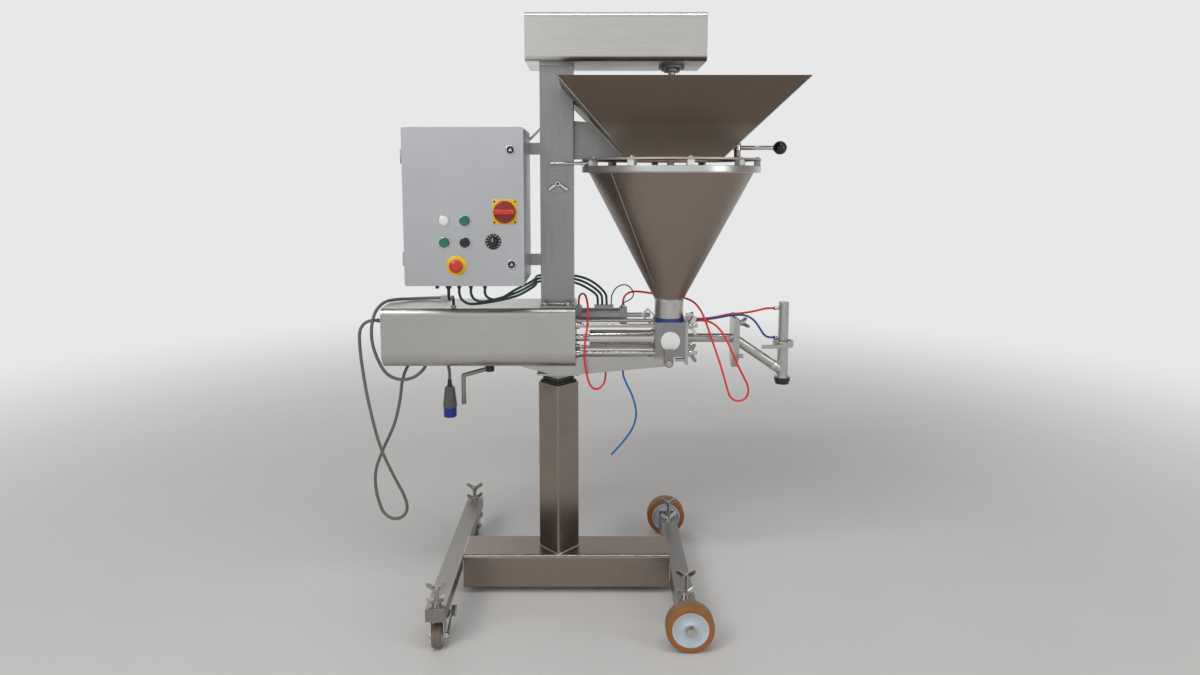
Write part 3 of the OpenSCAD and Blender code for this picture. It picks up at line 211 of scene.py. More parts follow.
ALONG_X, ALONG_Y, ALONG_Z = (0.12, 9, 9), (9, 0.12, 9), (9, 9, 0.12)
ROUND_Z, FINE = (0.3, 0.3, 9), (30, 30, 30)
brushed_x = steel("steel_brushed_x", ALONG_X)
brushed_y = steel("steel_brushed_y", ALONG_Y, (0.35, 0.335, 0.32))
brushed_z = steel("steel_brushed_z", ALONG_Z)
head_steel = steel("steel_head", ALONG_X, (0.66, 0.65, 0.63), (0.22, 0.36))
mast_steel = steel("steel_mast", ALONG_Z, (0.36, 0.36, 0.365), (0.26, 0.40), shade=0.75)
stand_steel = steel("steel_stand", ALONG_X, (0.355, 0.30, 0.26), (0.22, 0.34))
spun = steel("steel_spun", ROUND_Z, (0.32, 0.262, 0.22), (0.24, 0.36), grain=0.02, shade=0.92)
lighten_foot(spun, (0.58, 0.555, 0.53), CONE_LOW / 1000, (CONE_LOW + 8) / 1000)
stretch_glint(spun, 0.75)
rim_steel = steel("steel_rim", ROUND_Z, (0.74, 0.735, 0.72), (0.28, 0.40), grain=0.05)
funnel_steel = steel("steel_funnel", ALONG_X, (0.20, 0.155, 0.122), (0.44, 0.56), 0.0008, 0.04, 0.92)
# Painted light: a lighter tint on the plate and the funnel's foot, standing in for light where the funnel
# shades them
lighten_foot(funnel_steel, (0.54, 0.49, 0.445), PLATE_UP / 1000, (PLATE_UP + 90) / 1000)
box_steel = steel("steel_box", (2.5, 14, 14), (0.60, 0.61, 0.63), (0.28, 0.44), grain=0.05, shade=0.80)
polished = steel("steel_polished", (20, 20, 20), (0.66, 0.65, 0.63), (0.10, 0.22), 0.0008, 0.03)
chrome = steel("chrome", (12, 12, 12), (0.74, 0.74, 0.74), (0.05, 0.12), 0.0004, 0.02)
weld = steel("steel_weld", (60, 60, 60), (0.86, 0.84, 0.80), (0.24, 0.42), 0, 0.4)
screw_steel = steel("steel_screw", FINE, (0.44, 0.43, 0.415), (0.16, 0.30), 0.0008, 0.04)
grey_metal = steel("aluminium_grey", FINE, (0.40, 0.40, 0.41), (0.34, 0.50), 0.001, 0.06)
strap_bronze = steel("steel_strap", ALONG_Z, (0.36, 0.33, 0.30), (0.30, 0.42))
black = plastic("plastic_black", (0.018, 0.018, 0.019), 0.36)
black_gloss = plastic("plastic_black_gloss", (0.008, 0.008, 0.009), 0.24, coat=0.2)
white = plastic("plastic_white", (0.80, 0.80, 0.78), 0.35)
tread_amber = plastic("tread_amber", (0.30, 0.15, 0.055), 0.48, 90, 0.25, vary=0.30)
side_amber = plastic("tread_side", (0.40, 0.135, 0.022), 0.34, 120, 0.12, vary=0.22)
hub_nylon = plastic("hub_nylon", (0.60, 0.67, 0.74), 0.42, 150, 0.15)
tread_grey = plastic("tread_grey", (0.21, 0.165, 0.135), 0.55, 120, 0.25, vary=0.35)
hub_grey = plastic("hub_grey", (0.44, 0.43, 0.41), 0.45, 160, 0.15)
blue_rubber = plastic("seal_blue", (0.018, 0.055, 0.26), 0.45)
yellow = plastic("plastic_yellow", (0.80, 0.53, 0.012), 0.36)
red = plastic("plastic_red", (0.60, 0.025, 0.012), 0.30, coat=0.3)
dark_red = plastic("plastic_dark_red", (0.26, 0.006, 0.008), 0.28, coat=0.3)
green = plastic("plastic_green", (0.006, 0.16, 0.085), 0.28, coat=0.3)
lamp_white = plastic("lamp_white", (0.78, 0.80, 0.78), 0.25, coat=0.3)
grey_cable = plastic("cable_grey", (0.15, 0.148, 0.14), 0.45, 400, 0.1, 0)
green_cable = plastic("cable_green", (0.012, 0.050, 0.036), 0.42, 400, 0.1, 0)
black_cable = plastic("cable_black", (0.014, 0.014, 0.014), 0.42, 400, 0.1, 0)
red_hose = plastic("hose_red", (0.78, 0.030, 0.018), 0.30, 400, 0.05, 0, 0.2)
blue_hose = plastic("hose_blue", (0.010, 0.045, 0.26), 0.24, 400, 0.05, 0, 0.3)
light_hose = plastic("hose_light_blue", (0.008, 0.15, 0.42), 0.28, 400, 0.05, 0, 0.2)
plug_grey = plastic("plug_grey", (0.09, 0.095, 0.095), 0.42, 260, 0.2)
plug_blue = plastic("plug_blue", (0.006, 0.025, 0.27), 0.32)


# Mesh helpers
SPLIT_DEGREES = 38


def add_piece(name, mesh, material, body):
    piece = bpy.data.objects.new(name, mesh)
    bpy.context.scene.collection.objects.link(piece)
    mesh.materials.append(material)
    for polygon in mesh.polygons:
        polygon.use_smooth = True
    split = piece.modifiers.new("edges", "EDGE_SPLIT")
    split.split_angle = math.radians(SPLIT_DEGREES)
    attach(piece, body)
    return piece


def mesh_of(name, bm):
    bmesh.ops.recalc_face_normals(bm, faces=bm.faces)
    mesh = bpy.data.meshes.new(name)
    bm.to_mesh(mesh)
    bm.free()
    return mesh


def pose(centre, axis, spin=0.0):
    turn = Vector((0, 0, 1)).rotation_difference(Vector(axis)).to_matrix().to_4x4()
    return Matrix.Translation(centre) @ turn @ Matrix.Rotation(math.radians(spin), 4, "Z")


def turned(name, profile, centre, axis, material, body, sides=48, spin=0.0, flutes=0, depth=0.0):
    """Turns (radius, height) points, in millimetres, about an axis; flutes wave the wall in and out."""
    bm = bmesh.new()
    rings = []
    for radius, height in profile:
        if radius < 1e-6:
            rings.append([bm.verts.new((0, 0, height / 1000))])
            continue
        ring = []
        for k in range(sides):
            angle = 2 * math.pi * k / sides
            r = (radius - depth * (0.5 - 0.5 * math.cos(flutes * angle))) / 1000
            ring.append(bm.verts.new((r * math.cos(angle), r * math.sin(angle), height / 1000)))
        rings.append(ring)
    for low, high in zip(rings, rings[1:]):
        for k in range(sides):
            n = (k + 1) % sides
            corners = [low[k % len(low)], low[n % len(low)], high[n % len(high)], high[k % len(high)]]
            corners = list(dict.fromkeys(corners))
            if len(corners) > 2:
                bm.faces.new(corners)
    bm.transform(pose(centre, axis, spin))
    return add_piece(name, mesh_of(name, bm), material, body)


def block(name, low, high, material, body, edge=1.5, taper=(1, 1), turn=None):
    """A box between two corners, in millimetres, with rounded edges; taper narrows its front face."""
    bm = bmesh.new()
    bmesh.ops.create_cube(bm, size=1)
    size = [(b - a) / 1000 for a, b in zip(low, high)]
    for v in bm.verts:
        if v.co.y < 0:
            v.co.x *= taper[0]
            v.co.z *= taper[1]
    bm.transform(Matrix.Diagonal((*size, 1)))
    bmesh.ops.bevel(bm, geom=bm.edges[:], offset=edge / 1000, segments=3, affect="EDGES", profile=0.5)
    centre = at(*[(a + b) / 2 for a, b in zip(low, high)])
    bm.transform(Matrix.Translation(centre) @ (turn or Matrix.Identity(4)))
    return add_piece(name, mesh_of(name, bm), material, body)


def hex_bolt(name, centre, axis, across, height, material, body, washer=0.0, spin=0.0):
    """A chamfered hexagon head on a thin round washer."""
    r = across / math.sqrt(3)
    profile = [(0, 0), (r, 0), (r, 0.8 * height), (0.86 * r, height), (0.3 * r, height),
        (0.26 * r, 0.93 * height), (0, 0.93 * height)]
    if washer > 0:
        flat = [(0, 0), (washer, 0), (washer, 1.0), (washer - 0.5, 1.5), (0, 1.5)]
        turned(name + "_washer", flat, centre, axis, material, body, 32)
        centre = centre + Vector(axis).normalized() * 0.0014
    return turned(name, profile, centre, axis, material, body, 6, spin)


def bead(name, points, radius, body, closed=False, ripple=2.2):
    """A weld bead along points, in millimetres: a rope of metal with the ripple of its pools."""
    places = [at(*p) for p in points]
    if closed:
        places.append(places[0])
    path = []
    for a, b in zip(places, places[1:]):
        steps = max(2, int((b - a).length * 2000 / ripple))
        path += [a.lerp(b, k / steps) for k in range(steps)]
    path.append(places[-1])
    curve = bpy.data.curves.new(name, "CURVE")
    curve.dimensions = "3D"
    curve.bevel_depth = radius / 1000
    curve.bevel_resolution = 1
    spline = curve.splines.new("POLY")
    spline.points.add(len(path) - 1)
    for k, (target, p) in enumerate(zip(spline.points, path)):
        target.co = (*p, 1)
        target.radius = 1.0 if k % 2 else 0.78
    curve.materials.append(weld)
    piece = bpy.data.objects.new(name, curve)
    bpy.context.scene.collection.objects.link(piece)
    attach(piece, body)
    return piece


# Cords follow the same route points as the part's source
def pace(a, b):
    return math.sqrt((b - a).length)


def slope(a, b, c):
    return (b - a) / pace(a, b) - (c - a) / (pace(a, b) + pace(b, c)) + (c - b) / pace(b, c)


def smooth(points, steps=6):
    ends = [2 * points[0] - points[1], *points, 2 * points[-1] - points[-2]]
    out = []
    for a, b, c, d in zip(ends, ends[1:], ends[2:], ends[3:]):
        leave = pace(b, c) * slope(a, b, c)
        arrive = pace(b, c) * slope(b, c, d)
        for j in range(steps):
            t = j / steps
            ease = t * t * (3 - 2 * t)
            out.append(b + ease * (c - b) + t * (1 - t) ** 2 * leave - t * t * (1 - t) * arrive)
    return out + [points[-1]]


def cord(name, route, diameter, material, node, with_pieces=()):
    points = smooth([at(*p) for p in route])
    curve = bpy.data.curves.new(name, "CURVE")
    curve.dimensions = "3D"
    curve.bevel_depth = diameter / 2000
    curve.bevel_resolution = 4
    curve.use_fill_caps = True
    spline = curve.splines.new("POLY")
    spline.points.add(len(points) - 1)
    for target, p in zip(spline.points, points):
        target.co = (*p, 1)
    curve.materials.append(material)
    piece = bpy.data.objects.new(name, curve)
    bpy.context.scene.collection.objects.link(piece)
    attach(piece, "lift")
    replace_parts(piece, node)
    return piece


mains_route = [(COVER_LEFT - 30, LEAD_Y, LEAD_Z), (-526, LEAD_Y, LEAD_Z), (-540, -30.8, 796.6),
    (-551, -31.8, 788.6), (-558.8, -33, 777), (-562, -35, 762), (-562, -37, 742), (-558, -40, 690),
    (-540, -45, 570), (-508, -49, 436), (-468, -46, 338), (-448, -41, 292), (-440, -36, 252),
    (-447.8, -32, 228), (-468.3, -27, 213), (-493.7, -22, 213), (-514.2, -18, 228), (-526, -14, 254),
    (-536, -11, 294), (-536, -9, 348), (-517, -8, 404), (-477, -10, 492), (-458, -12, 566),
    (-449, -14, 622), (-432, -15, 664), (-404, -16.5, 688), (-376, -18, 696), (-350, -18.6, 695),
    (-330.5, -19.2, 686), (-317, -19.7, 670), (PLUG_X, PLUG_Y, 648), (PLUG_X, PLUG_Y, PLUG_HIGH)]
lead_route = [(-345, 50, 852), (-357, 50, 852), (-390, 55, 850.5), (-433, 42, 850.5), (-468, 16, 853),
    (-495, -10, 849), (-512, -32, 831), (-520, -50, 800), (-520, -60, 750), (-503, -60, 690),
    (-479, -56, 650), (-444, -50, 634), (-408, -45, 640), (-380, -40, 664), (-366, -36, 700)]
green_run = [(-113, -100, 880), (-74, -62, 896), (-63, -20, 901), (-61, 36, 901), (-36, 66, 901),
    (20, 68, 901), (60, 67, 890), (92, 65, 873)]
black_route = [(BOX_LEFT + GLAND_AT[1], GLAND_Y, GLAND_LOW), (-282, -162, 898), (-282.4, -159.5, 889),
    (-282.8, -153, 882), (-283.4, -143.5, 878.2), (-284.2, -132.5, 876.6), (-285, -121, 876),
    (-285.6, -109.5, 876.2), (-286.2, -97, 877), (-287, -85, 877), (-287.6, -75.5, 873.8),
    (-288, -68.6, 867), (-288, -66, 859), (-288, -66, COVER_TOP + 5)]
sensor_route = [(154, 64, 829), (154, 64, 837), (154, 64, 845), (155.5, 65, 856), (160, 66.5, 867),
    (167, 67.5, 877), (177, 68, 884.5), (188, 68, 888), (199, 67.5, 887), (209, 66, 881), (216, 63, 872),
    (219, 59, 862), (215, 54.5, 852), (205, 51, 844.5), (194, 49, 840), (186.5, 48.3, 834.5),
    (184, 48, 829), (184, 48, 822)]
red_left = [(ACTUATOR_AT[0], ACTUATOR_Y, ACTUATOR_PORT), (ACTUATOR_AT[0], ACTUATOR_Y, 842),
    (60.3, 57.9, 855.5), (66, 47.5, 864), (72, 34, 867), (77.5, 18, 864.5), (82, 0, 855), (86, -28, 828),
    (84, -54, 789), (78, -67, 747), (75.5, -71, 707), (79, -69, 672), (85, -64.8, 642),
    (93, -58.4, 619.4), (105, -48.8, 606.5), (120, -36.8, 606.5), (132, -27.4, 619.4), (136, -24, 640),
    (PORT_AT[0], PORT_Y, PORT_LOW)]
red_right = [(PORT_END, -15, PORT_Z), (410, -15, 797), (429, -19, 795), (450, -31, 784), (470, -46, 760),
    (488, -53, 722), (508, -54, 678), (527, -53, 640), (537.5, -51, 618), (540.5, -49.5, 599),
    (535.5, -48, 582.7), (521.8, -46.5, 572.3), (504.2, -45, 572.3), (490.5, -44, 582.7),
    (483, -43.2, 602), (472.5, -42, 638), (461, -40.5, 676), (448, -39, 714), (434, -37, 754),
    (421, -33, 792), (408, -20, 824), (391, 10, 845), (366, 46, 853), (328, 70, 857), (272, 76, 862),
    (234, 74, 867), (216, 69.8, 867), (202.5, 66, 862.8), (193, 63.8, 853.6),
    (ACTUATOR_AT[1], ACTUATOR_Y, 842), (ACTUATOR_AT[1], ACTUATOR_Y, ACTUATOR_PORT)]
red_nozzle = [(PORT_END, 15, PORT_Z), (409, 15, 797), (422, 15.2, 797.4), (436, 15.6, 798.6),
    (450, 15.8, 800.6), (464, 16, 803.2), (478, 16, 806.4), (492, 15.6, 809.4), (506, 14.8, 811.2),
    (522, 13.4, 812.4), (538, 11.4, 814.6), (554, 8.6, 817.8), (570, 5.4, 821.8), (584, 2.6, 826),
    (596, 0.8, 829), (606, 0, CUTOFF_TOP_Z), (CUTOFF_TOP_X, 0, CUTOFF_TOP_Z)]
blue_nozzle = [(PORT_END, 0, PORT_Z), (409, 0, 797), (422, -0.2, 797.6), (436, -0.8, 799),
    (450, -1.8, 801.2), (464, -3, 804), (478, -4.2, 807), (492, -5.6, 809.8), (506, -7, 811.4),
    (520, -8, 812), (534, -8.8, 810.8), (546.5, -9, 806.4), (557.5, -8.6, 799.2), (567, -7.6, 789.6),
    (575, -6, 778.6), (582.6, -4, 767), (590.6, -1.8, 755.6), (599.5, -0.4, 748), (610, 0, CUTOFF_LOW_Z),
    (CUTOFF_LOW_X, 0, CUTOFF_LOW_Z)]
blue_free = [(PORT_AT[1], PORT_Y, PORT_LOW), (186, -24, 655), (186, -24, 647), (187.5, -25.5, 637),
    (191.5, -29, 626), (197.5, -34, 614), (204, -39.5, 602), (210.5, -45, 588), (216, -49.5, 573),
    (220, -53, 557), (222, -54.8, 542), (221.5, -55, 525), (217, -55, 507), (210, -55, 490),
    (200, -55, 474), (186, -55, 455), (170, -55, 436), (152, -55, 416)]


def make_plug():
    """Grey handle with a ribbed grip and a tapered strain relief, over a blue sleeve with three pins."""
    place = at(PLUG_X, PLUG_Y, PLUG_HIGH)
    down = (0, 0, -1)
    grip = [(0, 22), (13, 22), (14, 26)]
    for k in range(6):
        grip += [(14.2 + 0.9 * k, 28 + 8 * k), (15.2 + 0.9 * k, 30 + 8 * k), (15.3 + 0.9 * k, 34 + 8 * k)]
    grip += [(20, 78), (20, 82), (18, 83), (0, 83)]
    handle = turned("plug_handle", grip, place, down, plug_grey, "lift")
    rings = [(5, 0)]
    for k in range(5):
        rings += [(5.4 + 0.6 * k, 1 + 5 * k), (5.5 + 0.6 * k, 3.5 + 5 * k), (4.9 + 0.6 * k, 4 + 5 * k)]
    boot = turned("plug_boot", rings + [(8.4, 26), (0, 26)], place, down, black, "lift")
    shell = [(0, 80), (18.4, 80), (18.4, 108), (17.8, 110), (16.4, 110), (16.2, 84), (0, 84)]
    sleeve = turned("plug_sleeve", shell, place, down, plug_blue, "lift")
    pieces = [handle, boot, sleeve]
    for k in range(3):
        angle = math.radians(90 + 120 * k)
        pin = place + Vector((0.0085 * math.cos(angle), 0.0085 * math.sin(angle), 0))
        profile = [(0, 83), (2.4, 83), (2.4, 104), (1.6, 106), (0, 106)]
        pieces.append(turned(f"plug_pin_{k}", profile, pin, down, chrome, "lift", 16))
    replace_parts(handle, "mains_plug")
    return pieces


cord("mains_lead", mains_route, 9, grey_cable, "mains_cable", with_pieces=make_plug())
cord("top_lead", lead_route, 9, grey_cable, "mains_cable")
for i in range(3):
    x = BOX_LEFT + GLAND_AT[i + 2]
    end_x = 114 + 13 * i
    run = [(p[0] + (8 * i if p[0] > 30 else 0), p[1], p[2] + 9 * i) for p in green_run]
    route = [(x, GLAND_Y, GLAND_LOW), (x, GLAND_Y, GLAND_LOW - 12), (x + 5, GLAND_Y + 4, 882 + 3 * i),
        (x + 18, GLAND_Y + 12, 870 + 5 * i), (x + 36, GLAND_Y + 22, 866 + 7 * i), *run,
        (end_x - 3, 64.2, 857 + 2 * i), (end_x, 64, 842), (end_x, 64, 829)]
    cord(f"control_lead_{i}", route, 7, green_cable, "control_cables")
cord("cover_lead", black_route, 8, black_cable, "control_cables")
cord("sensor_lead", sensor_route, 3.5, black_cable, "control_cables")
cord("hose_left", red_left, 6, red_hose, "air_hoses")
cord("hose_right", red_right, 6, red_hose, "air_hoses")
cord("hose_nozzle_top", red_nozzle, 6, red_hose, "air_hoses")
cord("hose_nozzle_low", blue_nozzle, 6, blue_hose, "air_hoses")
cord("hose_spare", blue_free, 6, light_hose, "air_hoses")

# Finishes of the CAD nodes that show
finishes = {
    brushed_x: ["drive_cover", "lift_frame", "outlet_pipe", "nozzle_clamp"],
    brushed_y: ["left_leg", "right_leg"],
    brushed_z: ["nozzle_body", "cutoff_cylinder", "cutoff_plunger", "agitator"],
    head_steel: ["top_cover"],
    mast_steel: ["mast", "valve_block"],
    stand_steel: ["pedestal"],
    spun: ["hopper_cone"],
    funnel_steel: ["hopper_funnel"],
    box_steel: ["enclosure", "door"],
    polished: ["base_fasteners", "tie_rods", "product_cylinder", "piston", "actuator_rod", "latch_lever",
        "fork_front", "fork_rear", "pedal_front", "pedal_rear"],
    screw_steel: ["brake_screw_front", "brake_screw_rear", "jack_screw_front", "jack_screw_rear"],
    strap_bronze: ["plug_strap"],
    grey_metal: ["air_cylinder", "valve_actuator", "agitator_drive"],
    black: ["column_bush", "nozzle_tip"],
    white: ["spacer_blocks", "valve_plug"],
    blue_rubber: ["neck_seal"],
}
for material, names in finishes.items():
    for name in names:
        nodes[name].data.materials.clear()
        nodes[name].data.materials.append(material)


# Fixed wheels: worn tread, bright side rings, dished nylon hub and bearing
def fixed_wheel(body, y):
    centre = at(RIGHT_X, y, AXLE_Z)
    h = WHEEL_HALF
    tread = [(51, -h + 3), (56, -h + 0.5), (59, -h + 1), (61.5, -h + 3), (62.5, -h + 7), (62.5, h - 7),
        (61.5, h - 3), (59, h - 1), (56, h - 0.5), (51, h - 3)]
    tyre = turned(body + "_tyre", tread, centre, (0, 1, 0), tread_amber, body, 96)
    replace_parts(tyre, body)
    ring = [(47, 15), (47, h - 1), (48.5, h - 0.2), (56.5, h - 0.3), (59.2, h - 0.9), (59.2, 15)]
    dish = [(8.2, 10), (8.2, h), (16, h), (17.5, h - 1), (19, h - 7), (22, h - 9), (36, h - 9), (40, h - 7),
        (42.5, h - 2.2), (44, h - 1.6), (47.2, h - 1.6), (47.2, 10)]
    bearing = [(8.3, h - 2), (8.3, h + 0.3), (13.5, h + 0.3), (14, h - 0.1), (14, h - 2)]
    for face in (-1, 1):
        turned(f"{body}_side_{face}", ring, centre, (0, face, 0), side_amber, body, 96)
        turned(f"{body}_hub_{face}", dish, centre, (0, face, 0), hub_nylon, body, 96)
        turned(f"{body}_bearing_{face}", bearing, centre, (0, face, 0), chrome, body)


fixed_wheel("wheel_front", -WHEEL_Y)
fixed_wheel("wheel_rear", WHEEL_Y)


# Swivel wheels: banded tread on a grey core
def swivel_wheel(body, y):
    centre = at(LEFT_X, y, CASTER_Z)
    tread = [(22, -12), (27, -12), (29, -11), (30, -9), (30, -3.2), (29.3, -2.6), (29.3, -1.8), (30, -1.2),
        (30, 9), (29, 11), (27, 12), (22, 12)]
    tyre = turned(body + "_tyre", tread, centre, (1, 0, 0), tread_grey, body, 72)
    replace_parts(tyre, body)
    core = [(5.1, 6), (5.1, 14.4), (10, 14.4), (11, 13.6), (12, 10.5), (19, 10.5), (20.5, 11.8), (22.3, 12.2),
        (22.3, 6)]
    for face in (-1, 1):
        turned(f"{body}_core_{face}", core, centre, (face, 0, 0), hub_grey, body, 64)


swivel_wheel("caster_front", -CASTER_Y)
swivel_wheel("caster_rear", CASTER_Y)


# Weld beads of the stand and the mast, and the bolts of the mast's foot
def square_bead(name, half, z, radius, body):
    corners = [(-half, -half, z), (half, -half, z), (half, half, z), (-half, half, z)]
    bead(name, corners, radius, body, True)


z = BEAM_TOP + 0.6
bead("weld_column", [(-COLUMN_CORNER, 0, z), (-8, 8 - COLUMN_CORNER, z), (0, -COLUMN_CORNER, z - 2),
    (8, 8 - COLUMN_CORNER, z), (COLUMN_CORNER, 0, z), (8, COLUMN_CORNER - 8, z), (0, COLUMN_CORNER, z - 2),
    (-8, COLUMN_CORNER - 8, z)], 2.6, "base", True)
for y in (-BEAM_Y, BEAM_Y):
    bead(f"weld_left_leg_{y}", [(BEAM_LEFT, y, LEG_UNDER), (BEAM_LEFT, y, BEAM_TOP - 12)], 1.8, "base")
    bead(f"weld_right_leg_{y}", [(BEAM_RIGHT, y, 40), (BEAM_RIGHT, y, LEG_TOP)], 1.8, "base")
bead("weld_left_top", [(BEAM_LEFT, -BEAM_Y + 12, BEAM_TOP), (BEAM_LEFT, BEAM_Y - 12, BEAM_TOP)], 1.6, "base")
bead("weld_right_top", [(BEAM_RIGHT, -BEAM_Y, LEG_TOP), (BEAM_RIGHT, BEAM_Y, LEG_TOP)], 1.6, "base")
CAP_INSET, CAP_THICK = 5, 2.6
for side, x in (("left", BEAM_LEFT + 0.4), ("right", BEAM_RIGHT - 3)):
    low = (x, CAP_INSET - BEAM_Y, BEAM_LOW + CAP_INSET)
    high = (x + CAP_THICK, BEAM_Y - CAP_INSET, BEAM_TOP - CAP_INSET)
    block("beam_cap_" + side, low, high, stand_steel, "base", 0.5)
square_bead("weld_mast_foot", MAST_HALF, MAST_LOW, 2.0, "lift")
square_bead("weld_mast_head", MAST_HALF, MAST_TOP - 0.8, 1.6, "lift")
for x in (-32, 32):
    for y in (-66, 66):
        hex_bolt(f"mast_bolt_{x}_{y}", at(x, y, MAST_LOW), (0, 0, 1), 13, 6, polished, "lift", 11, 12 + x)


# Hopper: seams of the cone and the funnel, and the bolts round the rim
def ring_points(radius, z, count=72):
    angles = [2 * math.pi * k / count for k in range(count)]
    return [(HOPPER_X + radius * math.cos(a), radius * math.sin(a), z) for a in angles]


bead("weld_rim", ring_points(CONE_R + 0.4, RIM_LOW - 0.6), 1.6, "lift", True)
bead("weld_neck", ring_points(NECK_R + 0.2, CONE_LOW), 1.2, "lift", True)
seam = math.radians(222)
ends = ((NECK_R + 0.2, CONE_LOW + 2), (CONE_R - 0.5, RIM_LOW - 3))
bead("cone_seam", [(HOPPER_X + r * math.cos(seam), r * math.sin(seam), z) for r, z in ends], 0.8, "lift")
CORNERS = ((-1, -1), (1, -1), (1, 1), (-1, 1))
half_foot, half_side = FUNNEL_FOOT / 2, FUNNEL_SIDE / 2 - 0.6
for i, j in CORNERS:
    start = (HOPPER_X + i * half_foot, j * half_foot, PLATE_UP + 1)
    end = (HOPPER_X + i * half_side, j * half_side, FUNNEL_TOP - 1.5)
    bead(f"funnel_corner_{i}_{j}", [start, end], 1.0, "lift")
foot_points = [(HOPPER_X + i * half_foot, j * half_foot, PLATE_UP + 0.6) for i, j in CORNERS]
bead("funnel_foot_weld", foot_points, 1.8, "lift", True)


def rim_bolt(name, centre, stem, spin):
    head = hex_bolt(name, centre, (0, 0, 1), 10, 3.6, polished, "lift", 8, spin)
    shank = [(0, -stem), (3, -stem), (3, 0.5), (0, 0.5)]
    turned(name + "_stem", shank, centre, (0, 0, 1), polished, "lift", 16)
    return head


for k in range(10):
    angle = math.radians(36 * k + SPACER_TURN - 90)
    place = at(HOPPER_X + SPACER_R * math.cos(angle), SPACER_R * math.sin(angle), PLATE_UP)
    rim_bolt(f"rim_bolt_{k}", place, 32, 17 * k)
latch_bolt = rim_bolt("latch_bolt", at(LATCH_X, LATCH_Y, PLATE_UP), 32, 5)
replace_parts(latch_bolt, "rim_bolts")


# Bright band round the cone's rim: a lighter steel than the cone's, a painted highlight of the lights the rim
# reflects
rim_highlight_band = [(RIM_R - 1, RIM_LOW), (RIM_R + 0.1, RIM_LOW + 0.8), (RIM_R + 0.2, RIM_LOW + 8),
    (RIM_R + 0.1, RIM_LOW + 16), (RIM_R - 1, RIM_LOW + 17)]
turned("rim_highlight_band", rim_highlight_band, at(HOPPER_X, 0, 0), (0, 0, 1), rim_steel, "lift", 144)

# Wing nut on the mast's slotted plate
nut_place = at(3, -MAST_HALF - 2, SLOT_Z + 11)
nut = [(0, 0), (9.4, 0), (9.4, 3), (8.6, 8), (7.2, 11.6), (3.6, 12), (3.4, 10), (0, 10)]
turned("slot_nut", nut, nut_place, (0, -1, 0), polished, "lift", 40)
turned("slot_bolt", [(0, 9), (3.3, 9), (3.3, 11), (0, 11)], nut_place, (0, -1, 0), black, "lift", 24)
for side in (-1, 1):
    x, z = 3 + 17 * side, SLOT_Z + 1
    low, high = (x - 14, -MAST_HALF - 14, z - 6), (x + 14, -MAST_HALF - 7.4, z + 6)
    turn = Matrix.Rotation(math.radians(38 * side), 4, "Y")
    block(f"slot_wing_{side}", low, high, chrome, "lift", 2.4, (0.9, 0.7), turn)


# Ball lever: steel hub and rod with a black ball
def ball_profile(radius, start, steps=20):
    first = math.pi - math.asin(start / radius)
    angles = [first * (1 - k / steps) for k in range(steps + 1)]
    return [(radius * math.sin(a), radius * math.cos(a)) for a in angles]


stud = at(STUD_X, 0, STUD_Z)
collar = [(6.1, -8), (10, -8), (11, -7), (11, 7), (10, 8), (6.1, 8), (6.1, -8)]
lever_hub = turned("lever_hub", collar, stud, (0, 0, 1), polished, "ball_lever")
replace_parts(lever_hub, "ball_lever")
turned("lever_rod", [(0, 8), (6, 8), (6, 98), (5, 100), (4.2, 104), (0, 104)], stud, (1, 0, 0), polished,
    "ball_lever", 32)
turned("lever_ball", [(0, -19), (8, -19), (8, -17)] + ball_profile(19, 8), at(STUD_X + 120, 0, STUD_Z),
    (1, 0, 0), black_gloss, "ball_lever")


# Crank: dark hub and arm with a worn grip
def make_crank():
    low = COVER_UNDER
    tilt = math.radians(-106)
    hub = [(0, low - 24), (12, low - 24), (13, low - 23), (13, low - 7), (12, low - 6), (8, low - 6),
        (8, low + 12), (0, low + 12)]
    crank_hub = turned("crank_hub", hub, at(CRANK_X, CRANK_Y, 0), (0, 0, 1), black, "crank", 32)
    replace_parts(crank_hub, "crank")
    arm = [(0, 4), (6, 4), (6, 78), (5, 80), (0, 80)]
    turned("crank_arm", arm, at(CRANK_X, CRANK_Y, low - 15), (math.sin(tilt), 0, math.cos(tilt)),
        strap_bronze, "crank", 32)
    grip = [(0, -121), (5, -121), (6.5, -119), (6.5, -90), (6.1, -74), (6.4, -52), (6.5, -40), (5.8, -36),
        (4, -35.5), (4, -31), (0, -31)]
    turned("crank_grip", grip, at(CRANK_X - 76, CRANK_Y, low), (0, 0, 1), strap_bronze, "crank", 32)


make_crank()

# Control box door: bezels, lamp, plates and locks that stay still
OUT = (0, -1, 0)


def on_door(x, z, away=0.0):
    return at(x, BOX_FRONT - away, z)


bezel = [(12.5, 0.4), (12.5, 3.4), (12.9, 4), (13.4, 4), (14, 3.2), (14, 0), (8.2, 0), (8.2, 0.4),
    (12.5, 0.4)]
for k, (x, z) in enumerate(((PRESS_X, UPPER_Z), (LAMP_X, LOWER_Z), (PRESS_X, LOWER_Z))):
    turned(f"bezel_{k}", bezel, on_door(x, z), OUT, chrome, "door")
lamp = on_door(LAMP_X, UPPER_Z)
turned("lamp_bezel", [(11.2, 0), (14, 0), (14, 3.2), (13.2, 4), (11.2, 4)], lamp, OUT, chrome, "door")
dome = [(11.3, 0), (11.3, 6), (10.6, 7.6), (8, 8.6), (4, 9), (0, 9)]
lamp_lens = turned("lamp_lens", dome, lamp, OUT, lamp_white, "door")
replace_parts(lamp_lens, "door_fittings")
cone_ring = [(12, 0), (26, 0), (26, 1.2), (24, 2.6), (16, 3.6), (14, 4), (12, 4), (12, 0)]
turned("stop_plate", cone_ring, on_door(STOP_X, STOP_Z), OUT, yellow, "door", 64)
dial = [(3.2, 0), (20, 0), (20, 1.4), (19.4, 2), (3.2, 2), (3.2, 0)]
turned("dial_plate", dial, on_door(KNOB_X, KNOB_Z), OUT, black_gloss, "door", 64)
MARK_R = 16.4
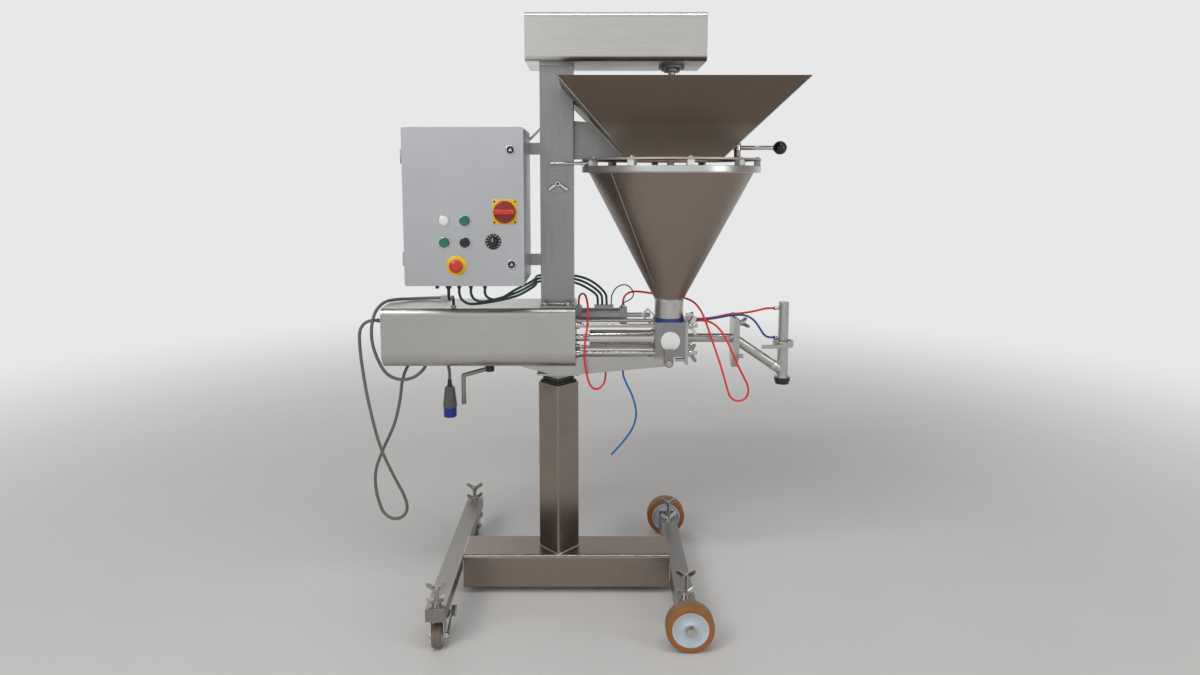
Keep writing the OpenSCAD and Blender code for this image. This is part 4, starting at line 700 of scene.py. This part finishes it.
for k in range(11):
    angle = math.radians(-135 + 27 * k)
    x, z = KNOB_X + MARK_R * math.sin(angle), KNOB_Z + MARK_R * math.cos(angle)
    block(f"dial_mark_{k}", (x - 0.7, BOX_FRONT - 2.2, z - 2.2), (x + 0.7, BOX_FRONT - 1.9, z + 2.2), white,
        "door", 0.1, turn=Matrix.Rotation(angle, 4, "Y"))
PLATE_HALF, PLATE_THICK = 31, 3
block("switch_plate", (SWITCH_X - PLATE_HALF, BOX_FRONT - PLATE_THICK, SWITCH_Z - PLATE_HALF),
    (SWITCH_X + PLATE_HALF, BOX_FRONT, SWITCH_Z + PLATE_HALF), yellow, "door", 1.2)
screw = [(0, 0), (2.6, 0), (2.6, 0.3), (1.4, 0.6), (0, 0.6)]
for i, j in CORNERS:
    place = on_door(SWITCH_X + 26 * i, SWITCH_Z + 26 * j, PLATE_THICK)
    turned(f"switch_screw_{i}_{j}", screw, place, OUT, black, "door", 20)
lock_ring = [(9, 0), (12.6, 0), (12.6, 2.6), (11.6, 4), (9.6, 4), (8.8, 2), (8.8, 0)]
for k, z in enumerate((BOX_LOW + 55, BOX_HIGH - 57)):
    place = on_door(BOX_RIGHT - 32, z)
    turned(f"lock_ring_{k}", lock_ring, place, OUT, chrome, "door")
    # Black disc in the lock's well: painted shade of the gap between the ring and the key
    turned(f"lock_gap_shade_{k}", [(8.9, 1.6), (0, 1.6)], place, OUT, black, "door", 32)
    turned(f"lock_key_{k}", [(6, 1.4), (6, 3.2), (5, 3.7), (0, 3.7)], place, OUT, polished, "door", 3, 90)


# Controls that move: dished caps, mushroom stop, fluted knob and gripped switch
def push_cap(name, x, z, material):
    cap = [(0, 4.8), (11.8, 4.8), (11.8, 11.6), (11.2, 12.7), (10.2, 13), (7, 12.4), (0, 12.1)]
    piece = turned(name + "_cap", cap, on_door(x, z), OUT, material, name)
    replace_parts(piece, name)


push_cap("button_upper", PRESS_X, UPPER_Z, green)
push_cap("button_lower", LAMP_X, LOWER_Z, green)
push_cap("button_black", PRESS_X, LOWER_Z, black_gloss)
mushroom = [(0, 4.6), (11.4, 4.6), (11.4, 9), (13, 10.4), (16.4, 11.6), (17, 13.4), (17, 16.5), (16, 19),
    (13.4, 21.2), (9, 22.6), (4, 23), (0, 23)]
stop_head = turned("stop_head", mushroom, on_door(STOP_X, STOP_Z), OUT, red, "stop_button", 64)
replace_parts(stop_head, "stop_button")
knob_side = [(0, 2.6), (12, 2.6), (12, 4), (11.4, 5), (11, 15), (10.4, 17), (9, 18), (0, 18)]
knob = turned("knob_body", knob_side, on_door(KNOB_X, KNOB_Z), OUT, black, "speed_knob", 120, 0, 20, 0.7)
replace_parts(knob, "speed_knob")
block("knob_pointer", (KNOB_X - 0.8, BOX_FRONT - 18.5, KNOB_Z + 1),
    (KNOB_X + 0.8, BOX_FRONT - 17.5, KNOB_Z + 9.5), white, "speed_knob", 0.2)
disc = [(0, 3.6), (26.5, 3.6), (28, 5), (28, 9), (27, 11), (24.5, 12), (0, 12)]
switch_disc = turned("switch_disc", disc, on_door(SWITCH_X, SWITCH_Z), OUT, dark_red, "main_switch", 72)
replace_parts(switch_disc, "main_switch")
block("switch_grip", (SWITCH_X - 26, BOX_FRONT - 26, SWITCH_Z - 8),
    (SWITCH_X + 26, BOX_FRONT - 11, SWITCH_Z + 8), red, "main_switch", 2.6, (0.94, 0.72))


# Cable glands: hexagon and ribbed dome nut
def gland(k, r):
    place = at(BOX_LEFT + GLAND_AT[k], GLAND_Y, BOX_LOW)
    hexagon = [(0, 0), (r, 0), (r, 4.4), (r - 0.8, 5.4), (0, 5.4)]
    ribbed = [(r - 1.2, 5.2), (r - 0.8, 6), (r - 0.8, 9), (r - 1.6, 12), (r - 2.8, 16), (r - 3.2, 17.8),
        (0, 17.8)]
    turned(f"gland_dome_{k}", ribbed, place, (0, 0, -1), black, "lift", 72, 0, 12, 0.5)
    return turned(f"gland_hex_{k}", hexagon, place, (0, 0, -1), black, "lift", 6, 11 * k)


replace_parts([gland(k, 10 if k == 1 else 7.5) for k in range(5)][0], "cable_glands")


# Push-in hose fittings, the white cap of the valve and the hose clip on the flange
def hose_fitting(name, centre, axis, material):
    sleeve = [(3.2, -9), (5.2, -9), (5.2, -3.4), (4.6, -3), (3.2, -3)]
    turned(name + "_sleeve", sleeve, centre, axis, chrome, "lift", 32)
    ring = [(3.2, -3), (4.9, -3), (4.9, -0.8), (4.3, 0), (3.2, 0)]
    turned(name + "_ring", ring, centre, axis, material, "lift", 32)


for k, y in enumerate((-15, 0, 15)):
    hose_fitting(f"outlet_port_{k}", at(PORT_END, y, PORT_Z), (1, 0, 0), (red, plug_blue, red)[k])
for k, x in enumerate(ACTUATOR_AT):
    hose_fitting(f"actuator_port_{k}", at(x, ACTUATOR_Y, ACTUATOR_PORT), (0, 0, 1), red)
for k, x in enumerate(PORT_AT):
    hose_fitting(f"arm_port_{k}", at(x, PORT_Y, PORT_LOW), (0, 0, -1), (red, plug_blue)[k])
hose_fitting("cutoff_port_top", at(CUTOFF_TOP_X, 0, CUTOFF_TOP_Z), (-1, 0, 0), red)
hose_fitting("cutoff_port_low", at(CUTOFF_LOW_X, 0, CUTOFF_LOW_Z), (-1, 0, 0), plug_blue)
valve_face = [(0, 49.3), (24.5, 49.3), (26.6, 47.8), (27, 46.4), (27, 45.4)]
turned("valve_face", valve_face, at(HOPPER_X, 0, AXIS_Z), OUT, white, "valve_plug", 72)
clip_ring = [(3.1, -4), (4.5, -4), (4.5, 4), (3.1, 4), (3.1, -4)]
turned("hose_clip", clip_ring, at(FLANGE_X - 4.5, 15, FLANGE_TOP + 4.9), (1, 0, 0.08), polished, "lift", 32)
block("clip_foot", (FLANGE_X - 8.5, 7, FLANGE_TOP), (FLANGE_X - 0.5, 19, FLANGE_TOP + 1.4), polished,
    "lift", 0.4)
hex_bolt("clip_bolt", at(FLANGE_X - 4.5, 9.5, FLANGE_TOP + 1.3), (0, 0, 1), 5.5, 2.4, polished, "lift")
slope_start = at(FLANGE_X + 6, 0, AXIS_Z - 6)
slope_end = at(NOZZLE_X, 0, ELBOW_Z)
band = [(13.8, -6), (15.2, -5), (15.6, 0), (15.2, 5), (13.8, 6)]
turned("slope_band", band, slope_start.lerp(slope_end, 0.8), slope_end - slope_start, rim_steel, "lift")
PIPE_R = 12.7
pipe_ring = [(FLANGE_X - 9, PIPE_R * math.cos(a / 8), AXIS_Z + PIPE_R * math.sin(a / 8)) for a in range(51)]
bead("weld_pipe", pipe_ring, 1.3, "lift")

# Ribbed strain relief at the drive cover's end
boot_rings = [(8, 0)]
for k in range(6):
    boot_rings += [(7.8 - 0.45 * k, 4 + 4 * k), (7.9 - 0.45 * k, 6.4 + 4 * k), (7.1 - 0.45 * k, 7.2 + 4 * k)]
turned("lead_boot", boot_rings + [(4.8, 30)], at(COVER_LEFT, LEAD_Y, LEAD_Z), (-1, 0, 0), black, "lift", 40)

# Studio: pale in front of and behind the object, darker at its sides and overhead
STUDIO_SIDE, STUDIO_PALE = (0.09, 0.088, 0.086), (0.80, 0.805, 0.81)
SIDE_START, SIDE_END, UP_START, UP_END, UP_LEVEL = 0.64, 0.98, 0.2, 0.75, 0.12


def studio_colour(tree, direction):
    split = tree.nodes.new("ShaderNodeSeparateXYZ")
    tree.links.new(direction, split.inputs["Vector"])
    side = tree.nodes.new("ShaderNodeMath")
    side.operation = "ABSOLUTE"
    tree.links.new(split.outputs["X"], side.inputs[0])
    facing = span(tree, side.outputs[0], 1.0, 0.0, SIDE_START, SIDE_END, "SMOOTHSTEP")
    level = tree.nodes.new("ShaderNodeMath")
    level.operation = "MULTIPLY"
    tree.links.new(facing, level.inputs[0])
    overhead = span(tree, split.outputs["Z"], 1.0, UP_LEVEL, UP_START, UP_END, "SMOOTHSTEP")
    tree.links.new(overhead, level.inputs[1])
    return mixed(tree, level.outputs[0], STUDIO_SIDE, STUDIO_PALE)


world = bpy.data.worlds.new("studio")
bpy.context.scene.world = world
world.use_nodes = True
sky = world.node_tree
sky_place = sky.nodes.new("ShaderNodeTexCoord")
sky.links.new(studio_colour(sky, sky_place.outputs["Generated"]), sky.nodes["Background"].inputs["Color"])

# Floor: pale and plain, fading into the studio's colour far from the object
REACH, FADE_START, FADE_END, FRONT_Y = 40, 1.0, 4.8, 7
floor_mesh = bpy.data.meshes.new("floor")
floor_corners = [(-REACH, -REACH, 0), (REACH, -REACH, 0), (REACH, REACH, 0), (-REACH, REACH, 0)]
floor_mesh.from_pydata(floor_corners, [], [(0, 1, 2, 3)])
floor = bpy.data.objects.new("floor", floor_mesh)
bpy.context.scene.collection.objects.link(floor)
floor_material, floor_tree, floor_shader = new_material("floor_pale")
floor_shader.inputs["Roughness"].default_value = 0.6
grain = noise(floor_tree, 3, (1, 1, 1), 5)
floor_colour = mixed(floor_tree, grain, (0.66, 0.65, 0.64), (0.70, 0.69, 0.68))
floor_tree.links.new(floor_colour, floor_shader.inputs["Base Color"])
floor_place = floor_tree.nodes.new("ShaderNodeTexCoord")
outward = floor_tree.nodes.new("ShaderNodeVectorMath")
outward.operation = "NORMALIZE"
distance = floor_tree.nodes.new("ShaderNodeVectorMath")
distance.operation = "LENGTH"
from_front = floor_tree.nodes.new("ShaderNodeVectorMath")
from_front.operation = "ADD"
from_front.inputs[1].default_value = (0, FRONT_Y, 0)
for node in (from_front, distance):
    floor_tree.links.new(floor_place.outputs["Object"], node.inputs[0])
floor_tree.links.new(from_front.outputs["Vector"], outward.inputs[0])
glow = floor_tree.nodes.new("ShaderNodeEmission")
floor_tree.links.new(studio_colour(floor_tree, outward.outputs["Vector"]), glow.inputs["Color"])
fade = floor_tree.nodes.new("ShaderNodeMixShader")
away = span(floor_tree, distance.outputs["Value"], 0.0, 1.0, FADE_START, FADE_END, "SMOOTHSTEP")
floor_tree.links.new(away, fade.inputs[0])
floor_tree.links.new(floor_shader.outputs["BSDF"], fade.inputs[1])
floor_tree.links.new(glow.outputs["Emission"], fade.inputs[2])
floor_tree.links.new(fade.outputs["Shader"], floor_tree.nodes["Material Output"].inputs["Surface"])
floor_mesh.materials.append(floor_material)


def area_light(name, place, size, power, colour=(1, 1, 1)):
    data = bpy.data.lights.new(name, "AREA")
    data.shape = "RECTANGLE"
    data.size, data.size_y = size
    data.energy = power
    data.color = colour
    lamp = bpy.data.objects.new(name, data)
    lamp.location = place
    lamp.rotation_euler = (Vector((0, 0, 0.9)) - Vector(place)).to_track_quat("-Z", "Y").to_euler()
    bpy.context.scene.collection.objects.link(lamp)


area_light("key", (-2.2, -2.6, 3.2), (1.6, 1.6), 54, (1.0, 0.98, 0.95))
area_light("fill", (2.9, -1.8, 1.9), (0.8, 2.2), 18, (0.95, 0.98, 1.0))
area_light("top", (0.3, 0.2, 4.2), (3.0, 2.0), 12)
area_light("strip", (0.1, -1.3, 3.7), (3.2, 0.22), 30)
area_light("back", (-1.5, 3.0, 3.0), (2.0, 1.0), 10)
bpy.context.scene.view_settings.view_transform = "Standard"
